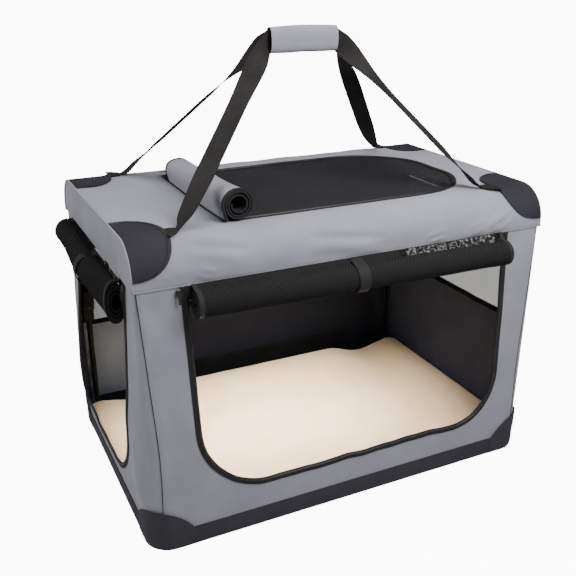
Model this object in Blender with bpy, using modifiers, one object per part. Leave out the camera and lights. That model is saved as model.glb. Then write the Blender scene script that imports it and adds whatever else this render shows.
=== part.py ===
# Soft-sided dog crate on a folding tube frame.
# Metres, +Z up, +X along the crate, -Y towards the front door.
# The origin lies on the floor, under the middle of the base.

import math

import bmesh
import bpy
from mathutils import Matrix, Vector

# Cover: its walls lean in a little, so the roof is smaller than the base
BASE_LENGTH = 1.067
BASE_WIDTH = 0.711
HEIGHT = 0.737
END_LEAN = 0.008
SIDE_LEAN = 0.0215
BASE_CORNER_RADIUS = 0.062
TOP_CORNER_RADIUS = 0.012
ROOF_EDGE_RADIUS = 0.077
VALANCE_DEPTH = 0.095
CLOTH = 0.003
SKIN = 0.002
GAP = 0.0004
CORNER_SEAM = 0.0016
BASE_PANEL_THICKNESS = 0.006

# Dark skirt and corner patches
SKIRT_HEIGHT = 0.048
SKIRT_CORNER_RISE = 0.030
SKIRT_RISE_LENGTH = 0.085
PATCH_ON_ROOF = 0.178
PATCH_REACH = 0.092
PATCH_SQUARENESS = 2.8
PATCH_THICKNESS = 0.0015

# Doors and windows, each placed by the cloth left beside it
FRONT_DOOR_STILE = 0.1085
FRONT_DOOR_SILL = 0.117
FRONT_DOOR_RADIUS = 0.165
LEFT_DOOR_STILE = 0.0945
LEFT_DOOR_SILL = 0.088
LEFT_DOOR_RADIUS = 0.150
BACK_WINDOW_STILE = 0.0515
BACK_WINDOW_SILL = 0.300
BACK_WINDOW_HEAD = 0.520
RIGHT_WINDOW_STILE = 0.1000
RIGHT_WINDOW_SILL = 0.365
WINDOW_RADIUS = 0.030
HATCH_LEFT_MARGIN = 0.2355
HATCH_RIGHT_MARGIN = 0.1055
HATCH_FRONT_MARGIN = 0.089
HATCH_BACK_MARGIN = 0.129
ROOF_HATCH_RADIUS = 0.185
ROOF_HATCH_HINGE_RADIUS = 0.020
MESH_THICKNESS = 0.0012
TAPE_WIDTH = 0.013
TAPE_THICKNESS = 0.0018

# Rolled doors and the rolled roof cover
ROLL_RADIUS = 0.035
ROLL_OUTSET = 0.022
ROLL_DROP = 0.042
ROLL_END_CLEARANCE = 0.013
ROLL_CLOTH = 0.0042
ROLL_PITCH = 0.0060
ROLL_TURNS = 3.0
ROLL_STEPS = 14
COVER_ROLL_RADIUS = 0.034
COVER_ROLL_TURNS = 2.35
COVER_ROLL_SETBACK = 0.024
COVER_ROLL_SHORTFALL = 0.050
ROLL_BAND_WIDTH = 0.030
FRONT_BAND_OFFSET = -0.016
LEFT_BAND_OFFSET = -0.050
ROLL_BAND_THICKNESS = 0.0014

# Folding frame
TUBE_DIAMETER = 0.016
LOOP_INSET = 0.026
LOOP_CORNER_RADIUS = 0.050
TOP_LOOP_DROP = 0.022
TOP_LOOP_SIDE_INSET = 0.043
TOP_LOOP_END_INSET = 0.016
AXLE_END_INSET = 0.0335
BASE_AXLE_HEIGHT = 0.036
TOP_AXLE_DROP = 0.047
LEG_SIDE_INSET = 0.0375
LEG_SPACING = 0.020
LEG_BEND_RADIUS = 0.042
KNUCKLE_RADIUS = 0.014
KNUCKLE_LENGTH = 0.048
KNUCKLE_WALL = 0.0015
TUBE_STOP = 0.011
RUN_CLEARANCE = 0.0006
PIN_DIAMETER = 0.005
PIN_HEAD_DIAMETER = 0.011
PIN_HEAD_THICKNESS = 0.0025
SADDLE_FROM_LEG = 0.138
SADDLE_WIDTH = 0.024
SADDLE_WALL = 0.0035

# Mat
MAT_END_MARGIN = 0.0080
MAT_SIDE_MARGIN = 0.0705
MAT_THICKNESS = 0.024
MAT_END_THICKNESS = 0.012
MAT_CLIMB = 0.0155
MAT_CORNER_RADIUS = 0.050
MAT_EDGE_ROUND = 0.009

# Straps and handle
STRAP_WIDTH = 0.050
STRAP_THICKNESS = 0.0024
STRAP_END_INSET = 0.1405
STRAP_SIDE_INSET = 0.087
STRAP_TAIL = 0.040
GRIP_LENGTH = 0.180
GRIP_HEIGHT = 0.064
GRIP_DEPTH = 0.036
GRIP_WALL = 0.0045
GRIP_RISE = 0.351
GRIP_OFFSET_X = 0.020

# Zip sliders
SLIDER_LENGTH = 0.014
SLIDER_WIDTH = 0.010
SLIDER_THICKNESS = 0.0055
PULL_LENGTH = 0.026
PULL_WIDTH = 0.006
PULL_THICKNESS = 0.0014
SLIDER_START = 0.012

ROOF_LENGTH = BASE_LENGTH - 2 * END_LEAN
ROOF_WIDTH = BASE_WIDTH - 2 * SIDE_LEAN
SEAM_HEIGHT = HEIGHT - VALANCE_DEPTH
FRONT_DOOR_WIDTH = BASE_LENGTH - 2 * FRONT_DOOR_STILE
LEFT_DOOR_WIDTH = BASE_WIDTH - 2 * LEFT_DOOR_STILE
BACK_WINDOW_WIDTH = BASE_LENGTH - 2 * BACK_WINDOW_STILE
RIGHT_WINDOW_WIDTH = BASE_WIDTH - 2 * RIGHT_WINDOW_STILE
ROOF_HATCH_LEFT = HATCH_LEFT_MARGIN - ROOF_LENGTH / 2
ROOF_HATCH_RIGHT = ROOF_LENGTH / 2 - HATCH_RIGHT_MARGIN
ROOF_HATCH_FRONT = HATCH_FRONT_MARGIN - ROOF_WIDTH / 2
ROOF_HATCH_BACK = ROOF_WIDTH / 2 - HATCH_BACK_MARGIN
SKIN_INSET = SKIN + GAP
TUBE_RADIUS = TUBE_DIAMETER / 2
AXLE_BORE = TUBE_RADIUS + RUN_CLEARANCE
TOP_AXLE_HEIGHT = HEIGHT - TOP_AXLE_DROP
KNEE_HEIGHT = (BASE_AXLE_HEIGHT + TOP_AXLE_HEIGHT) / 2
AXLE_X = BASE_LENGTH / 2 - AXLE_END_INSET
LOWER_LEG_Y = BASE_WIDTH / 2 - LEG_SIDE_INSET
UPPER_LEG_Y = LOWER_LEG_Y - LEG_SPACING
SADDLE_Y = LOWER_LEG_Y - SADDLE_FROM_LEG
BASE_LOOP_HEIGHT = BASE_PANEL_THICKNESS + GAP + TUBE_RADIUS
TOP_LOOP_HEIGHT = HEIGHT - TOP_LOOP_DROP
MAT_LENGTH = BASE_LENGTH - 2 * MAT_END_MARGIN
MAT_WIDTH = BASE_WIDTH - 2 * MAT_SIDE_MARGIN
STRAP_ROOT_X = ROOF_LENGTH / 2 - STRAP_END_INSET
STRAP_ROOT_Y = ROOF_WIDTH / 2 - STRAP_SIDE_INSET
GRIP_LEVEL = HEIGHT + GRIP_RISE

for old in list(bpy.data.objects):
    bpy.data.objects.remove(old, do_unlink=True)

crate = bpy.data.collections.new("soft_dog_crate")
cutters = bpy.data.collections.new("cutters")
bpy.context.scene.collection.children.link(crate)
bpy.context.scene.collection.children.link(cutters)


def make_material(name, colour, roughness, metallic=0.0):
    """A plain Principled material of one colour."""
    made = bpy.data.materials.new(name)
    made.use_nodes = True
    shader = made.node_tree.nodes["Principled BSDF"]
    shader.inputs["Base Color"].default_value = (*colour, 1.0)
    shader.inputs["Roughness"].default_value = roughness
    shader.inputs["Metallic"].default_value = metallic
    return made


GREY_CLOTH = make_material("grey_cloth", (0.38, 0.38, 0.41), 0.85)
DARK_CLOTH = make_material("dark_cloth", (0.04, 0.038, 0.045), 0.8)
BLACK_MESH = make_material("black_mesh", (0.02, 0.02, 0.022), 0.7)
BLACK_TAPE = make_material("black_tape", (0.015, 0.015, 0.016), 0.7)
WEBBING = make_material("webbing", (0.045, 0.042, 0.04), 0.75)
FLEECE = make_material("fleece", (0.80, 0.72, 0.58), 0.95)
FRAME_PAINT = make_material("frame_paint", (0.02, 0.02, 0.02), 0.4, 0.6)
BLACK_PLASTIC = make_material("black_plastic", (0.02, 0.02, 0.02), 0.45)
RIVET_METAL = make_material("rivet_metal", (0.5, 0.5, 0.5), 0.3, 1.0)


def put(name, mesh, material):
    """An object for a mesh, with its material, in the crate's collection."""
    made = bpy.data.objects.new(name, mesh)
    mesh.materials.clear()
    mesh.materials.append(material)
    crate.objects.link(made)
    return made


def mesh_from(name, points, faces):
    """A mesh from points and faces."""
    mesh = bpy.data.meshes.new(name)
    mesh.from_pydata([tuple(p) for p in points], [], faces)
    mesh.update()
    return mesh


def solidify(made, thickness, offset):
    """Gives an open sheet its thickness: offset -1 grows it inwards, 1 outwards."""
    step = made.modifiers.new("thickness", "SOLIDIFY")
    step.thickness = thickness
    step.offset = offset
    step.use_even_offset = True


def sheet(name, rows, thickness, offset, material, closed=False):
    """A cloth sheet through rows of points. Rows climb, and points run anticlockwise, so faces look out."""
    count = len(rows[0])
    points = [p for row in rows for p in row]
    faces = []
    for j in range(len(rows) - 1):
        for i in range(count if closed else count - 1):
            k = (i + 1) % count
            faces.append((j * count + i, j * count + k, (j + 1) * count + k, (j + 1) * count + i))
    made = put(name, mesh_from(name, points, faces), material)
    solidify(made, thickness, offset)
    return made


def fillet_path(corners, radii, steps, closed=False):
    """A path through corners, with each corner rounded to its radius by an arc of so many steps."""
    corners = [Vector(c) for c in corners]
    out = []
    for i, corner in enumerate(corners):
        radius = radii[i] if isinstance(radii, (list, tuple)) else radii
        at_end = not closed and i in (0, len(corners) - 1)
        if at_end or radius <= 0:
            out.append(corner)
            continue
        back = (corners[i - 1] - corner).normalized()
        ahead = (corners[(i + 1) % len(corners)] - corner).normalized()
        half = back.angle(ahead) / 2
        centre = corner + (back + ahead).normalized() * (radius / math.sin(half))
        start = corner + back * (radius / math.tan(half)) - centre
        end = corner + ahead * (radius / math.tan(half)) - centre
        turn = start.angle(end)
        for k in range(steps + 1):
            share = k / steps
            a = math.sin((1 - share) * turn) / math.sin(turn)
            b = math.sin(share * turn) / math.sin(turn)
            out.append(centre + start * a + end * b)
    return out


def curve_object(name, curve, material):
    """An object for a curve, in the crate's collection."""
    curve.materials.append(material)
    made = bpy.data.objects.new(name, curve)
    crate.objects.link(made)
    return made


def tube(name, points, radius, material, closed=False):
    """A round tube along points, its ends capped."""
    curve = bpy.data.curves.new(name, "CURVE")
    curve.dimensions = "3D"
    curve.bevel_depth = radius
    curve.bevel_resolution = 3
    curve.use_fill_caps = not closed
    spline = curve.splines.new("POLY")
    spline.points.add(len(points) - 1)
    for point, place in zip(spline.points, points):
        point.co = (*place, 1.0)
    spline.use_cyclic_u = closed
    return curve_object(name, curve, material)


def as_mesh(made, material):
    """The same shape as a welded mesh object, because a curve takes no Boolean."""
    bpy.context.view_layer.update()
    shape = made.evaluated_get(bpy.context.evaluated_depsgraph_get())
    mesh = bpy.data.meshes.new_from_object(shape)
    bm = bmesh.new()
    bm.from_mesh(mesh)
    bmesh.ops.remove_doubles(bm, verts=bm.verts, dist=0.00001)
    bm.to_mesh(mesh)
    bm.free()
    name = made.name
    place = made.matrix_world.copy()
    bpy.data.objects.remove(made, do_unlink=True)
    new = put(name, mesh, material)
    new.matrix_world = place
    return new


def plate(name, outline, thickness, material):
    """A flat plate in the XY plane from a closed outline, its thickness centred on the plane."""
    curve = bpy.data.curves.new(name, "CURVE")
    curve.dimensions = "2D"
    curve.fill_mode = "BOTH"
    curve.extrude = thickness / 2
    spline = curve.splines.new("POLY")
    spline.points.add(len(outline) - 1)
    for point, place in zip(spline.points, outline):
        point.co = (place[0], place[1], 0.0, 1.0)
    spline.use_cyclic_u = True
    return as_mesh(curve_object(name, curve, material), material)


STAND_XZ = Matrix.Rotation(math.radians(90), 4, "X")
STAND_YZ = Matrix(((0, 0, 1, 0), (1, 0, 0, 0), (0, 1, 0, 0), (0, 0, 0, 1)))


def as_cutter(made):
    """Moves an object to the cutters, hidden from renders."""
    crate.objects.unlink(made)
    cutters.objects.link(made)
    made.hide_render = True
    made.display_type = "WIRE"
    return made


def combine(made, other, operation):
    """Cuts another shape from an object, or joins it on."""
    step = made.modifiers.new(operation.lower(), "BOOLEAN")
    step.operation = operation
    step.solver = "EXACT"
    step.object = as_cutter(other) if other.name in crate.objects else other


def cylinder(name, radius, depth, place, axis, material, sides=16):
    """A cylinder along an axis."""
    turn = {"X": (0, math.radians(90), 0), "Y": (math.radians(90), 0, 0), "Z": (0, 0, 0)}[axis]
    bpy.ops.mesh.primitive_cylinder_add(vertices=sides, radius=radius, depth=depth, location=place, rotation=turn)
    made = bpy.context.object
    made.name = name
    made.data.materials.clear()
    made.data.materials.append(material)
    for home in list(made.users_collection):
        home.objects.unlink(made)
    crate.objects.link(made)
    return made


def block(name, low, high, material):
    """A box between two corners."""
    low, high = Vector(low), Vector(high)
    bpy.ops.mesh.primitive_cube_add(size=1.0, location=(low + high) / 2)
    made = bpy.context.object
    made.name = name
    made.scale = high - low
    bpy.ops.object.transform_apply(location=False, rotation=False, scale=True)
    made.data.materials.clear()
    made.data.materials.append(material)
    for home in list(made.users_collection):
        home.objects.unlink(made)
    crate.objects.link(made)
    return made


# Shape of the cover

def half_length(z):
    """Half the cover's outer length at a height."""
    return BASE_LENGTH / 2 - END_LEAN * z / HEIGHT


def half_width(z):
    """Half the cover's outer width at a height."""
    return BASE_WIDTH / 2 - SIDE_LEAN * z / HEIGHT


def corner_radius(z):
    """The cover's corner radius in plan at a height."""
    return BASE_CORNER_RADIUS + (TOP_CORNER_RADIUS - BASE_CORNER_RADIUS) * z / HEIGHT


CORNERS = ((1, -1, -90), (1, 1, 0), (-1, 1, 90), (-1, -1, 180))
CORNER_STEPS = 4


def corner_point(corner, degrees, z, inset):
    """A point on a plan corner: degrees run anticlockwise from the corner's start."""
    sx, sy, start = CORNERS[corner]
    radius = corner_radius(z)
    angle = math.radians(start + degrees)
    x = sx * (half_length(z) - radius) + (radius - inset) * math.cos(angle)
    y = sy * (half_width(z) - radius) + (radius - inset) * math.sin(angle)
    return Vector((x, y, z))


def wall_row(first_corner, z, inset):
    """A wall's outline at a height, from the middle of one corner to the middle of the next."""
    seam = math.degrees(CORNER_SEAM / 2 / (corner_radius(z) - inset - CLOTH))
    row = []
    for k in range(CORNER_STEPS + 1):
        row.append(corner_point(first_corner, max(45 + seam, 45 + 45 * k / CORNER_STEPS), z, inset))
    for k in range(CORNER_STEPS + 1):
        row.append(corner_point((first_corner + 1) % 4, min(45 - seam, 45 * k / CORNER_STEPS), z, inset))
    return row


WALL_FOOT = BASE_PANEL_THICKNESS + GAP
WALL_HEAD = SEAM_HEIGHT - GAP
WALL_LEVELS = 4


def wall(name, first_corner):
    """One upright wall of padded cloth."""
    levels = [WALL_FOOT + (WALL_HEAD - WALL_FOOT) * k / WALL_LEVELS for k in range(WALL_LEVELS + 1)]
    rows = [wall_row(first_corner, z, SKIN_INSET) for z in levels]
    return sheet(name, rows, CLOTH, -1, GREY_CLOTH)


def on_wall(side, along, z, out):
    """A point on a wall's straight part, so far out from the wall's own outer face."""
    if side in ("front", "back"):
        y = half_width(z) - SKIN_INSET + out
        return Vector((along, -y if side == "front" else y, z))
    x = half_length(z) - SKIN_INSET + out
    return Vector((-x if side == "left" else x, along, z))


def door_outline(width, sill, radius, head, grow=0.0):
    """A door's edge: square at its head, round at its foot, grown outwards by so much."""
    w = width / 2 + grow
    low = sill - grow
    corners = [(-w, head, 0), (-w, low, 0), (w, low, 0), (w, head, 0)]
    return fillet_path(corners, [0, radius + grow, radius + grow, 0], 7)


def window_outline(width, sill, head, radius, grow=0.0):
    """A window's closed edge."""
    w = width / 2 + grow
    corners = [(-w, sill - grow, 0), (w, sill - grow, 0), (w, head + grow, 0), (-w, head + grow, 0)]
    return fillet_path(corners, radius + grow, 4, closed=True)


def cut_through(made, side, outline):
    """Cuts an outline straight through a wall."""
    reach = 0.12
    cutter = plate(made.name + "_cutter", outline, reach, GREY_CLOTH)
    if side in ("front", "back"):
        y = half_width(SEAM_HEIGHT / 2)
        cutter.matrix_world = Matrix.Translation((0, -y if side == "front" else y, 0)) @ STAND_XZ
    else:
        x = half_length(SEAM_HEIGHT / 2)
        cutter.matrix_world = Matrix.Translation((-x if side == "left" else x, 0, 0)) @ STAND_YZ
    combine(made, cutter, "DIFFERENCE")


def door_tape(name, side, width, sill, radius):
    """The zip tape sewn round a door's edge."""
    inner = door_outline(width, sill, radius, WALL_HEAD)
    outer = door_outline(width, sill, radius, WALL_HEAD, TAPE_WIDTH)
    rows = [[on_wall(side, p.x, p.y, GAP) for p in line] for line in (inner, outer)]
    if side == "left":
        rows.reverse()
    return sheet(name, rows, TAPE_THICKNESS, -1, BLACK_TAPE)


def window_mesh(name, side, outline):
    """A flat mesh pane that fills a window."""
    points = [on_wall(side, p.x, p.y, -CLOTH / 3) for p in outline]
    made = put(name, mesh_from(name, points, [tuple(range(len(points)))]), BLACK_MESH)
    solidify(made, MESH_THICKNESS, 1 if side == "back" else -1)
    return made


# Walls and what is sewn to them

front_wall = wall("front_wall", 3)
right_wall = wall("right_wall", 0)
back_wall = wall("back_wall", 1)
left_wall = wall("left_wall", 2)
OVER_HEAD = SEAM_HEIGHT + 0.05
front_edge = door_outline(FRONT_DOOR_WIDTH, FRONT_DOOR_SILL, FRONT_DOOR_RADIUS, OVER_HEAD)
left_edge = door_outline(LEFT_DOOR_WIDTH, LEFT_DOOR_SILL, LEFT_DOOR_RADIUS, OVER_HEAD)
back_edge = window_outline(BACK_WINDOW_WIDTH, BACK_WINDOW_SILL, BACK_WINDOW_HEAD, WINDOW_RADIUS)
right_edge = door_outline(RIGHT_WINDOW_WIDTH, RIGHT_WINDOW_SILL, WINDOW_RADIUS, OVER_HEAD)
back_pane = window_outline(BACK_WINDOW_WIDTH, BACK_WINDOW_SILL, BACK_WINDOW_HEAD, WINDOW_RADIUS, -GAP)
right_pane = door_outline(RIGHT_WINDOW_WIDTH, RIGHT_WINDOW_SILL, WINDOW_RADIUS, WALL_HEAD, -GAP)
cut_through(front_wall, "front", front_edge)
cut_through(left_wall, "left", left_edge)
cut_through(back_wall, "back", back_edge)
cut_through(right_wall, "right", right_edge)
window_mesh("back_window_mesh", "back", back_pane)
window_mesh("right_window_mesh", "right", right_pane)
door_tape("front_door_tape", "front", FRONT_DOOR_WIDTH, FRONT_DOOR_SILL, FRONT_DOOR_RADIUS)
door_tape("left_door_tape", "left", LEFT_DOOR_WIDTH, LEFT_DOOR_SILL, LEFT_DOOR_RADIUS)


def build_base():
    """The stiff base panel and the dark skirt round it."""
    inset = SKIN_INSET
    corners = [(-1, -1, 0), (1, -1, 0), (1, 1, 0), (-1, 1, 0)]
    x = half_length(0) - inset
    y = half_width(0) - inset
    edge = [(sx * x, sy * y, 0) for sx, sy, _ in corners]
    outline = fillet_path(edge, BASE_CORNER_RADIUS - inset, 2 * CORNER_STEPS, True)
    panel = plate("base_panel", outline, BASE_PANEL_THICKNESS, DARK_CLOTH)
    panel.location.z = BASE_PANEL_THICKNESS / 2

    def skirt_top(distance):
        """The skirt's height at a distance from the middle of a corner."""
        share = max(0.0, 1 - distance / SKIRT_RISE_LENGTH)
        return SKIRT_HEIGHT + SKIRT_CORNER_RISE * math.sin(share * math.pi / 2)

    plan = []
    arc = math.radians(90) * BASE_CORNER_RADIUS
    for corner in range(4):
        for k in range(2 * CORNER_STEPS + 1):
            degrees = 45 * k / CORNER_STEPS
            plan.append((corner, degrees, 0.0, abs(degrees - 45) / 90 * arc))
        for run in (0.012, 0.030):
            plan.append((corner, 90, run, arc / 2 + run))
        for run in (0.030, 0.012):
            plan.append(((corner + 1) % 4, 0, -run, arc / 2 + run))

    def plan_point(entry, z):
        corner, degrees, run, _ = entry
        place = corner_point(corner, degrees, z, 0.0)
        angle = math.radians(CORNERS[corner][2] + degrees + 90)
        return place + Vector((math.cos(angle), math.sin(angle), 0)) * run

    low = [plan_point(entry, SKIN) for entry in plan]
    high = [plan_point(entry, skirt_top(entry[3])) for entry in plan]
    sheet("base_skirt", [low, high], SKIN, -1, DARK_CLOTH, closed=True)


build_base()


ROOF_EDGE_STEPS = 7
SHOULDER_HEIGHT = HEIGHT - ROOF_EDGE_RADIUS
SHOULDER_Y = half_width(SHOULDER_HEIGHT) - ROOF_EDGE_RADIUS


def roof_edge_point(angle, inset):
    """A point of the roof's rounded back edge, its angle in radians up from level."""
    radius = ROOF_EDGE_RADIUS - inset
    return (SHOULDER_Y + radius * math.cos(angle), SHOULDER_HEIGHT + radius * math.sin(angle))


def roof_section(inset):
    """The roof's section across its width, from the front valance's foot to the back valance's foot."""
    half = [(half_width(SEAM_HEIGHT) - inset, SEAM_HEIGHT)]
    for k in range(ROOF_EDGE_STEPS + 1):
        half.append(roof_edge_point(math.pi / 2 * k / ROOF_EDGE_STEPS, inset))
    return [(-y, z) for y, z in half] + list(reversed(half))


def hatch_outline(grow=0.0):
    """The roof hatch: square at its hinge side, well rounded at its free end."""
    left = ROOF_HATCH_LEFT - grow
    right = ROOF_HATCH_RIGHT + grow
    front = ROOF_HATCH_FRONT - grow
    back = ROOF_HATCH_BACK + grow
    corners = [(left, front, 0), (right, front, 0), (right, back, 0), (left, back, 0)]
    small = ROOF_HATCH_HINGE_RADIUS + grow
    large = ROOF_HATCH_RADIUS + grow
    return fillet_path(corners, [small, large, large, small], 7, closed=True)


def build_roof():
    """The roof with its front and back valances, its hatch mesh and tape, and the two end valances."""
    section = roof_section(0.0)
    rows = [[Vector((half_length(z) * share, y, z)) for y, z in section] for share in (1, -1)]
    roof = sheet("roof", rows, CLOTH, -1, GREY_CLOTH)
    cutter = plate("hatch_cutter", hatch_outline(), 0.05, GREY_CLOTH)
    cutter.location.z = HEIGHT
    combine(roof, cutter, "DIFFERENCE")
    pane = plate("roof_mesh", hatch_outline(-GAP), MESH_THICKNESS, BLACK_MESH)
    pane.location.z = HEIGHT - CLOTH / 2
    flat = [[Vector((p.x, p.y, HEIGHT + GAP)) for p in hatch_outline(grow)] for grow in (TAPE_WIDTH, 0)]
    sheet("roof_hatch_tape", flat, TAPE_THICKNESS, 1, BLACK_TAPE, closed=True)
    inner = roof_section(CLOTH + GAP)
    for side, sx in (("left", -1), ("right", 1)):
        points = [Vector((sx * half_length(z), y, z)) for y, z in inner]
        order = tuple(range(len(points)))
        name = side + "_end_valance"
        made = put(name, mesh_from(name, points, [order]), GREY_CLOTH)
        solidify(made, CLOTH, 1 if sx < 0 else -1)


build_roof()


def patch_section():
    """Points of the roof's section under a patch, from mid-roof outwards, with the share of the way."""
    bend = math.radians(90) * ROOF_EDGE_RADIUS
    flat = PATCH_ON_ROOF - ROOF_EDGE_RADIUS
    total = flat + bend
    points = []
    for k in range(5):
        points.append((SHOULDER_Y - flat * (1 - k / 5), HEIGHT + GAP, flat * k / 5 / total))
    for k in range(ROOF_EDGE_STEPS + 1):
        angle = math.pi / 2 * (1 - k / ROOF_EDGE_STEPS)
        points.append((*roof_edge_point(angle, -GAP), (flat + bend * k / ROOF_EDGE_STEPS) / total))
    return points


def build_patches():
    """Four dark half-round patches over the roof's corners."""
    for end, sx in (("left", -1), ("right", 1)):
        for side, sy in (("front", -1), ("back", 1)):
            rows = [[], [], []]
            for y, z, share in patch_section():
                off_middle = min(1.0, abs(2 * share - 1)) ** PATCH_SQUARENESS
                reach = max(0.004, PATCH_REACH * (1 - off_middle) ** (1 / PATCH_SQUARENESS))
                for j, row in enumerate(rows):
                    row.append(Vector((sx * (half_length(z) - reach * j / 2), sy * y, z)))
            if sx * sy > 0:
                rows.reverse()
            sheet(f"corner_patch_{side}_{end}", rows, PATCH_THICKNESS, -1 if sx * sy else 1, DARK_CLOTH)


build_patches()


# Folding frame

def loop_outline(x, y, z):
    """A rounded rectangle for a frame loop."""
    corners = [(-x, -y, z), (x, -y, z), (x, y, z), (-x, y, z)]
    return fillet_path(corners, LOOP_CORNER_RADIUS, 5, closed=True)


BASE_LOOP_X = BASE_LENGTH / 2 - LOOP_INSET
BASE_LOOP_Y = BASE_WIDTH / 2 - LOOP_INSET
TOP_LOOP_X = ROOF_LENGTH / 2 - TOP_LOOP_END_INSET
TOP_LOOP_Y = ROOF_WIDTH / 2 - TOP_LOOP_SIDE_INSET
tube("base_loop", loop_outline(BASE_LOOP_X, BASE_LOOP_Y, BASE_LOOP_HEIGHT), TUBE_RADIUS, FRAME_PAINT, True)
tube("top_loop", loop_outline(TOP_LOOP_X, TOP_LOOP_Y, TOP_LOOP_HEIGHT), TUBE_RADIUS, FRAME_PAINT, True)


def leg_frame(name, x, y, axle_height, knee_stop):
    """A U of tube: its bar is the axle, and its legs reach to the knees."""
    corners = [(x, -y, knee_stop), (x, -y, axle_height), (x, y, axle_height), (x, y, knee_stop)]
    return tube(name, fillet_path(corners, LEG_BEND_RADIUS, 5), TUBE_RADIUS, FRAME_PAINT)


def knuckle(name, x, y, up):
    """A plastic knuckle: its sleeve holds a leg's end, its eye turns on the knee pin."""
    outline = []
    for k in range(9):
        angle = math.pi * k / 8
        outline.append((KNUCKLE_RADIUS * math.cos(angle), -up * KNUCKLE_RADIUS * math.sin(angle)))
    outline += [(-KNUCKLE_RADIUS, up * KNUCKLE_LENGTH), (KNUCKLE_RADIUS, up * KNUCKLE_LENGTH)]
    thickness = TUBE_DIAMETER + 2 * KNUCKLE_WALL
    made = plate(name, outline, thickness, BLACK_PLASTIC)
    made.matrix_world = Matrix.Translation((x, y, KNEE_HEIGHT)) @ STAND_XZ
    bore_length = KNUCKLE_LENGTH - TUBE_STOP + GAP + 0.01
    bore_middle = up * (TUBE_STOP - GAP + bore_length / 2)
    bore = cylinder(name + "_bore", TUBE_RADIUS + GAP, bore_length, (x, y, KNEE_HEIGHT + bore_middle), "Z", BLACK_PLASTIC)
    eye = cylinder(name + "_eye", PIN_DIAMETER / 2 + RUN_CLEARANCE, 0.05, (x, y, KNEE_HEIGHT), "Y", BLACK_PLASTIC)
    combine(made, bore, "DIFFERENCE")
    combine(made, eye, "DIFFERENCE")
    return made


def knee_pin(name, x, side):
    """A headed rivet through both knuckles of a knee."""
    half = TUBE_RADIUS + KNUCKLE_WALL + GAP
    outer = LOWER_LEG_Y + half
    inner = UPPER_LEG_Y - half
    shank = PIN_DIAMETER / 2
    head = PIN_HEAD_DIAMETER / 2
    profile = [(0, outer + PIN_HEAD_THICKNESS), (head * 0.8, outer + PIN_HEAD_THICKNESS), (head, outer + 0.001)]
    profile += [(head, outer), (shank, outer), (shank, inner), (head, inner), (head, inner - 0.001)]
    profile += [(head * 0.8, inner - PIN_HEAD_THICKNESS), (0, inner - PIN_HEAD_THICKNESS)]
    mesh = mesh_from(name, [(r, 0, h) for r, h in profile], [])
    mesh.clear_geometry()
    mesh.from_pydata([(r, 0, h) for r, h in profile], [(i, i + 1) for i in range(len(profile) - 1)], [])
    made = put(name, mesh, RIVET_METAL)
    turn = made.modifiers.new("turn", "SCREW")
    turn.steps = 12
    turn.render_steps = 12
    turn.use_merge_vertices = True
    turn.merge_threshold = 0.00001
    tilt = Matrix.Rotation(math.radians(90 if side < 0 else -90), 4, "X")
    made.matrix_world = Matrix.Translation((x, 0, KNEE_HEIGHT)) @ tilt
    return made


def saddle(name, x_loop, z_loop, x_axle, z_axle, y, low_limit, high_limit):
    """A plastic saddle that clamps a loop's end tube and lets a leg frame's axle turn."""
    reach = AXLE_BORE + SADDLE_WALL
    low = max(low_limit, min(z_loop, z_axle) - reach)
    high = min(high_limit, max(z_loop, z_axle) + reach)
    x_low = min(x_loop, x_axle) - reach
    x_high = max(x_loop, x_axle) + reach
    made = block(name, (x_low, y - SADDLE_WIDTH / 2, low), (x_high, y + SADDLE_WIDTH / 2, high), BLACK_PLASTIC)
    for label, x, z in (("clamp", x_loop, z_loop), ("axle", x_axle, z_axle)):
        bore = cylinder(f"{name}_{label}", AXLE_BORE, 2 * SADDLE_WIDTH, (x, y, z), "Y", BLACK_PLASTIC)
        combine(made, bore, "DIFFERENCE")
    return made


def build_frame():
    """The folding legs of both ends, with their knees and saddles."""
    under_roof = HEIGHT - CLOTH - GAP
    for end, sx in (("left", -1), ("right", 1)):
        x = sx * AXLE_X
        leg_frame(f"lower_legs_{end}", x, LOWER_LEG_Y, BASE_AXLE_HEIGHT, KNEE_HEIGHT - TUBE_STOP)
        leg_frame(f"upper_legs_{end}", x, UPPER_LEG_Y, TOP_AXLE_HEIGHT, KNEE_HEIGHT + TUBE_STOP)
        for side, sy in (("front", -1), ("back", 1)):
            knuckle(f"lower_knuckle_{side}_{end}", x, sy * LOWER_LEG_Y, -1)
            knuckle(f"upper_knuckle_{side}_{end}", x, sy * UPPER_LEG_Y, 1)
            knee_pin(f"knee_pin_{side}_{end}", x, sy)
            y = sy * SADDLE_Y
            saddle(f"base_saddle_{side}_{end}", sx * BASE_LOOP_X, BASE_LOOP_HEIGHT, x, BASE_AXLE_HEIGHT, y,
                   WALL_FOOT, HEIGHT)
            saddle(f"top_saddle_{side}_{end}", sx * TOP_LOOP_X, TOP_LOOP_HEIGHT, x, TOP_AXLE_HEIGHT, y,
                   0.0, under_roof)


build_frame()


def mat_half_width(x):
    """Half the mat's width at a place along it, less at its rounded corners."""
    past = max(0.0, abs(x) - (MAT_LENGTH / 2 - MAT_CORNER_RADIUS))
    return MAT_WIDTH / 2 - MAT_CORNER_RADIUS + math.sqrt(max(0.0, MAT_CORNER_RADIUS ** 2 - past ** 2))


def mat_ring(x, under, thickness, rounding):
    """A closed ring of the mat's skin across its width, its long edges rounded."""
    y = mat_half_width(x)
    half = thickness / 2
    near = min(rounding, half)
    edge = [(y - rounding, half), (y - rounding * 0.25, half - near * 0.4), (y, 0)]
    side = edge + [(y - rounding * 0.25, near * 0.4 - half), (y - rounding, -half)]
    other = [(-across, -up) for across, up in side]
    return [Vector((x, across, under + half + up)) for across, up in side + other]


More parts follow.
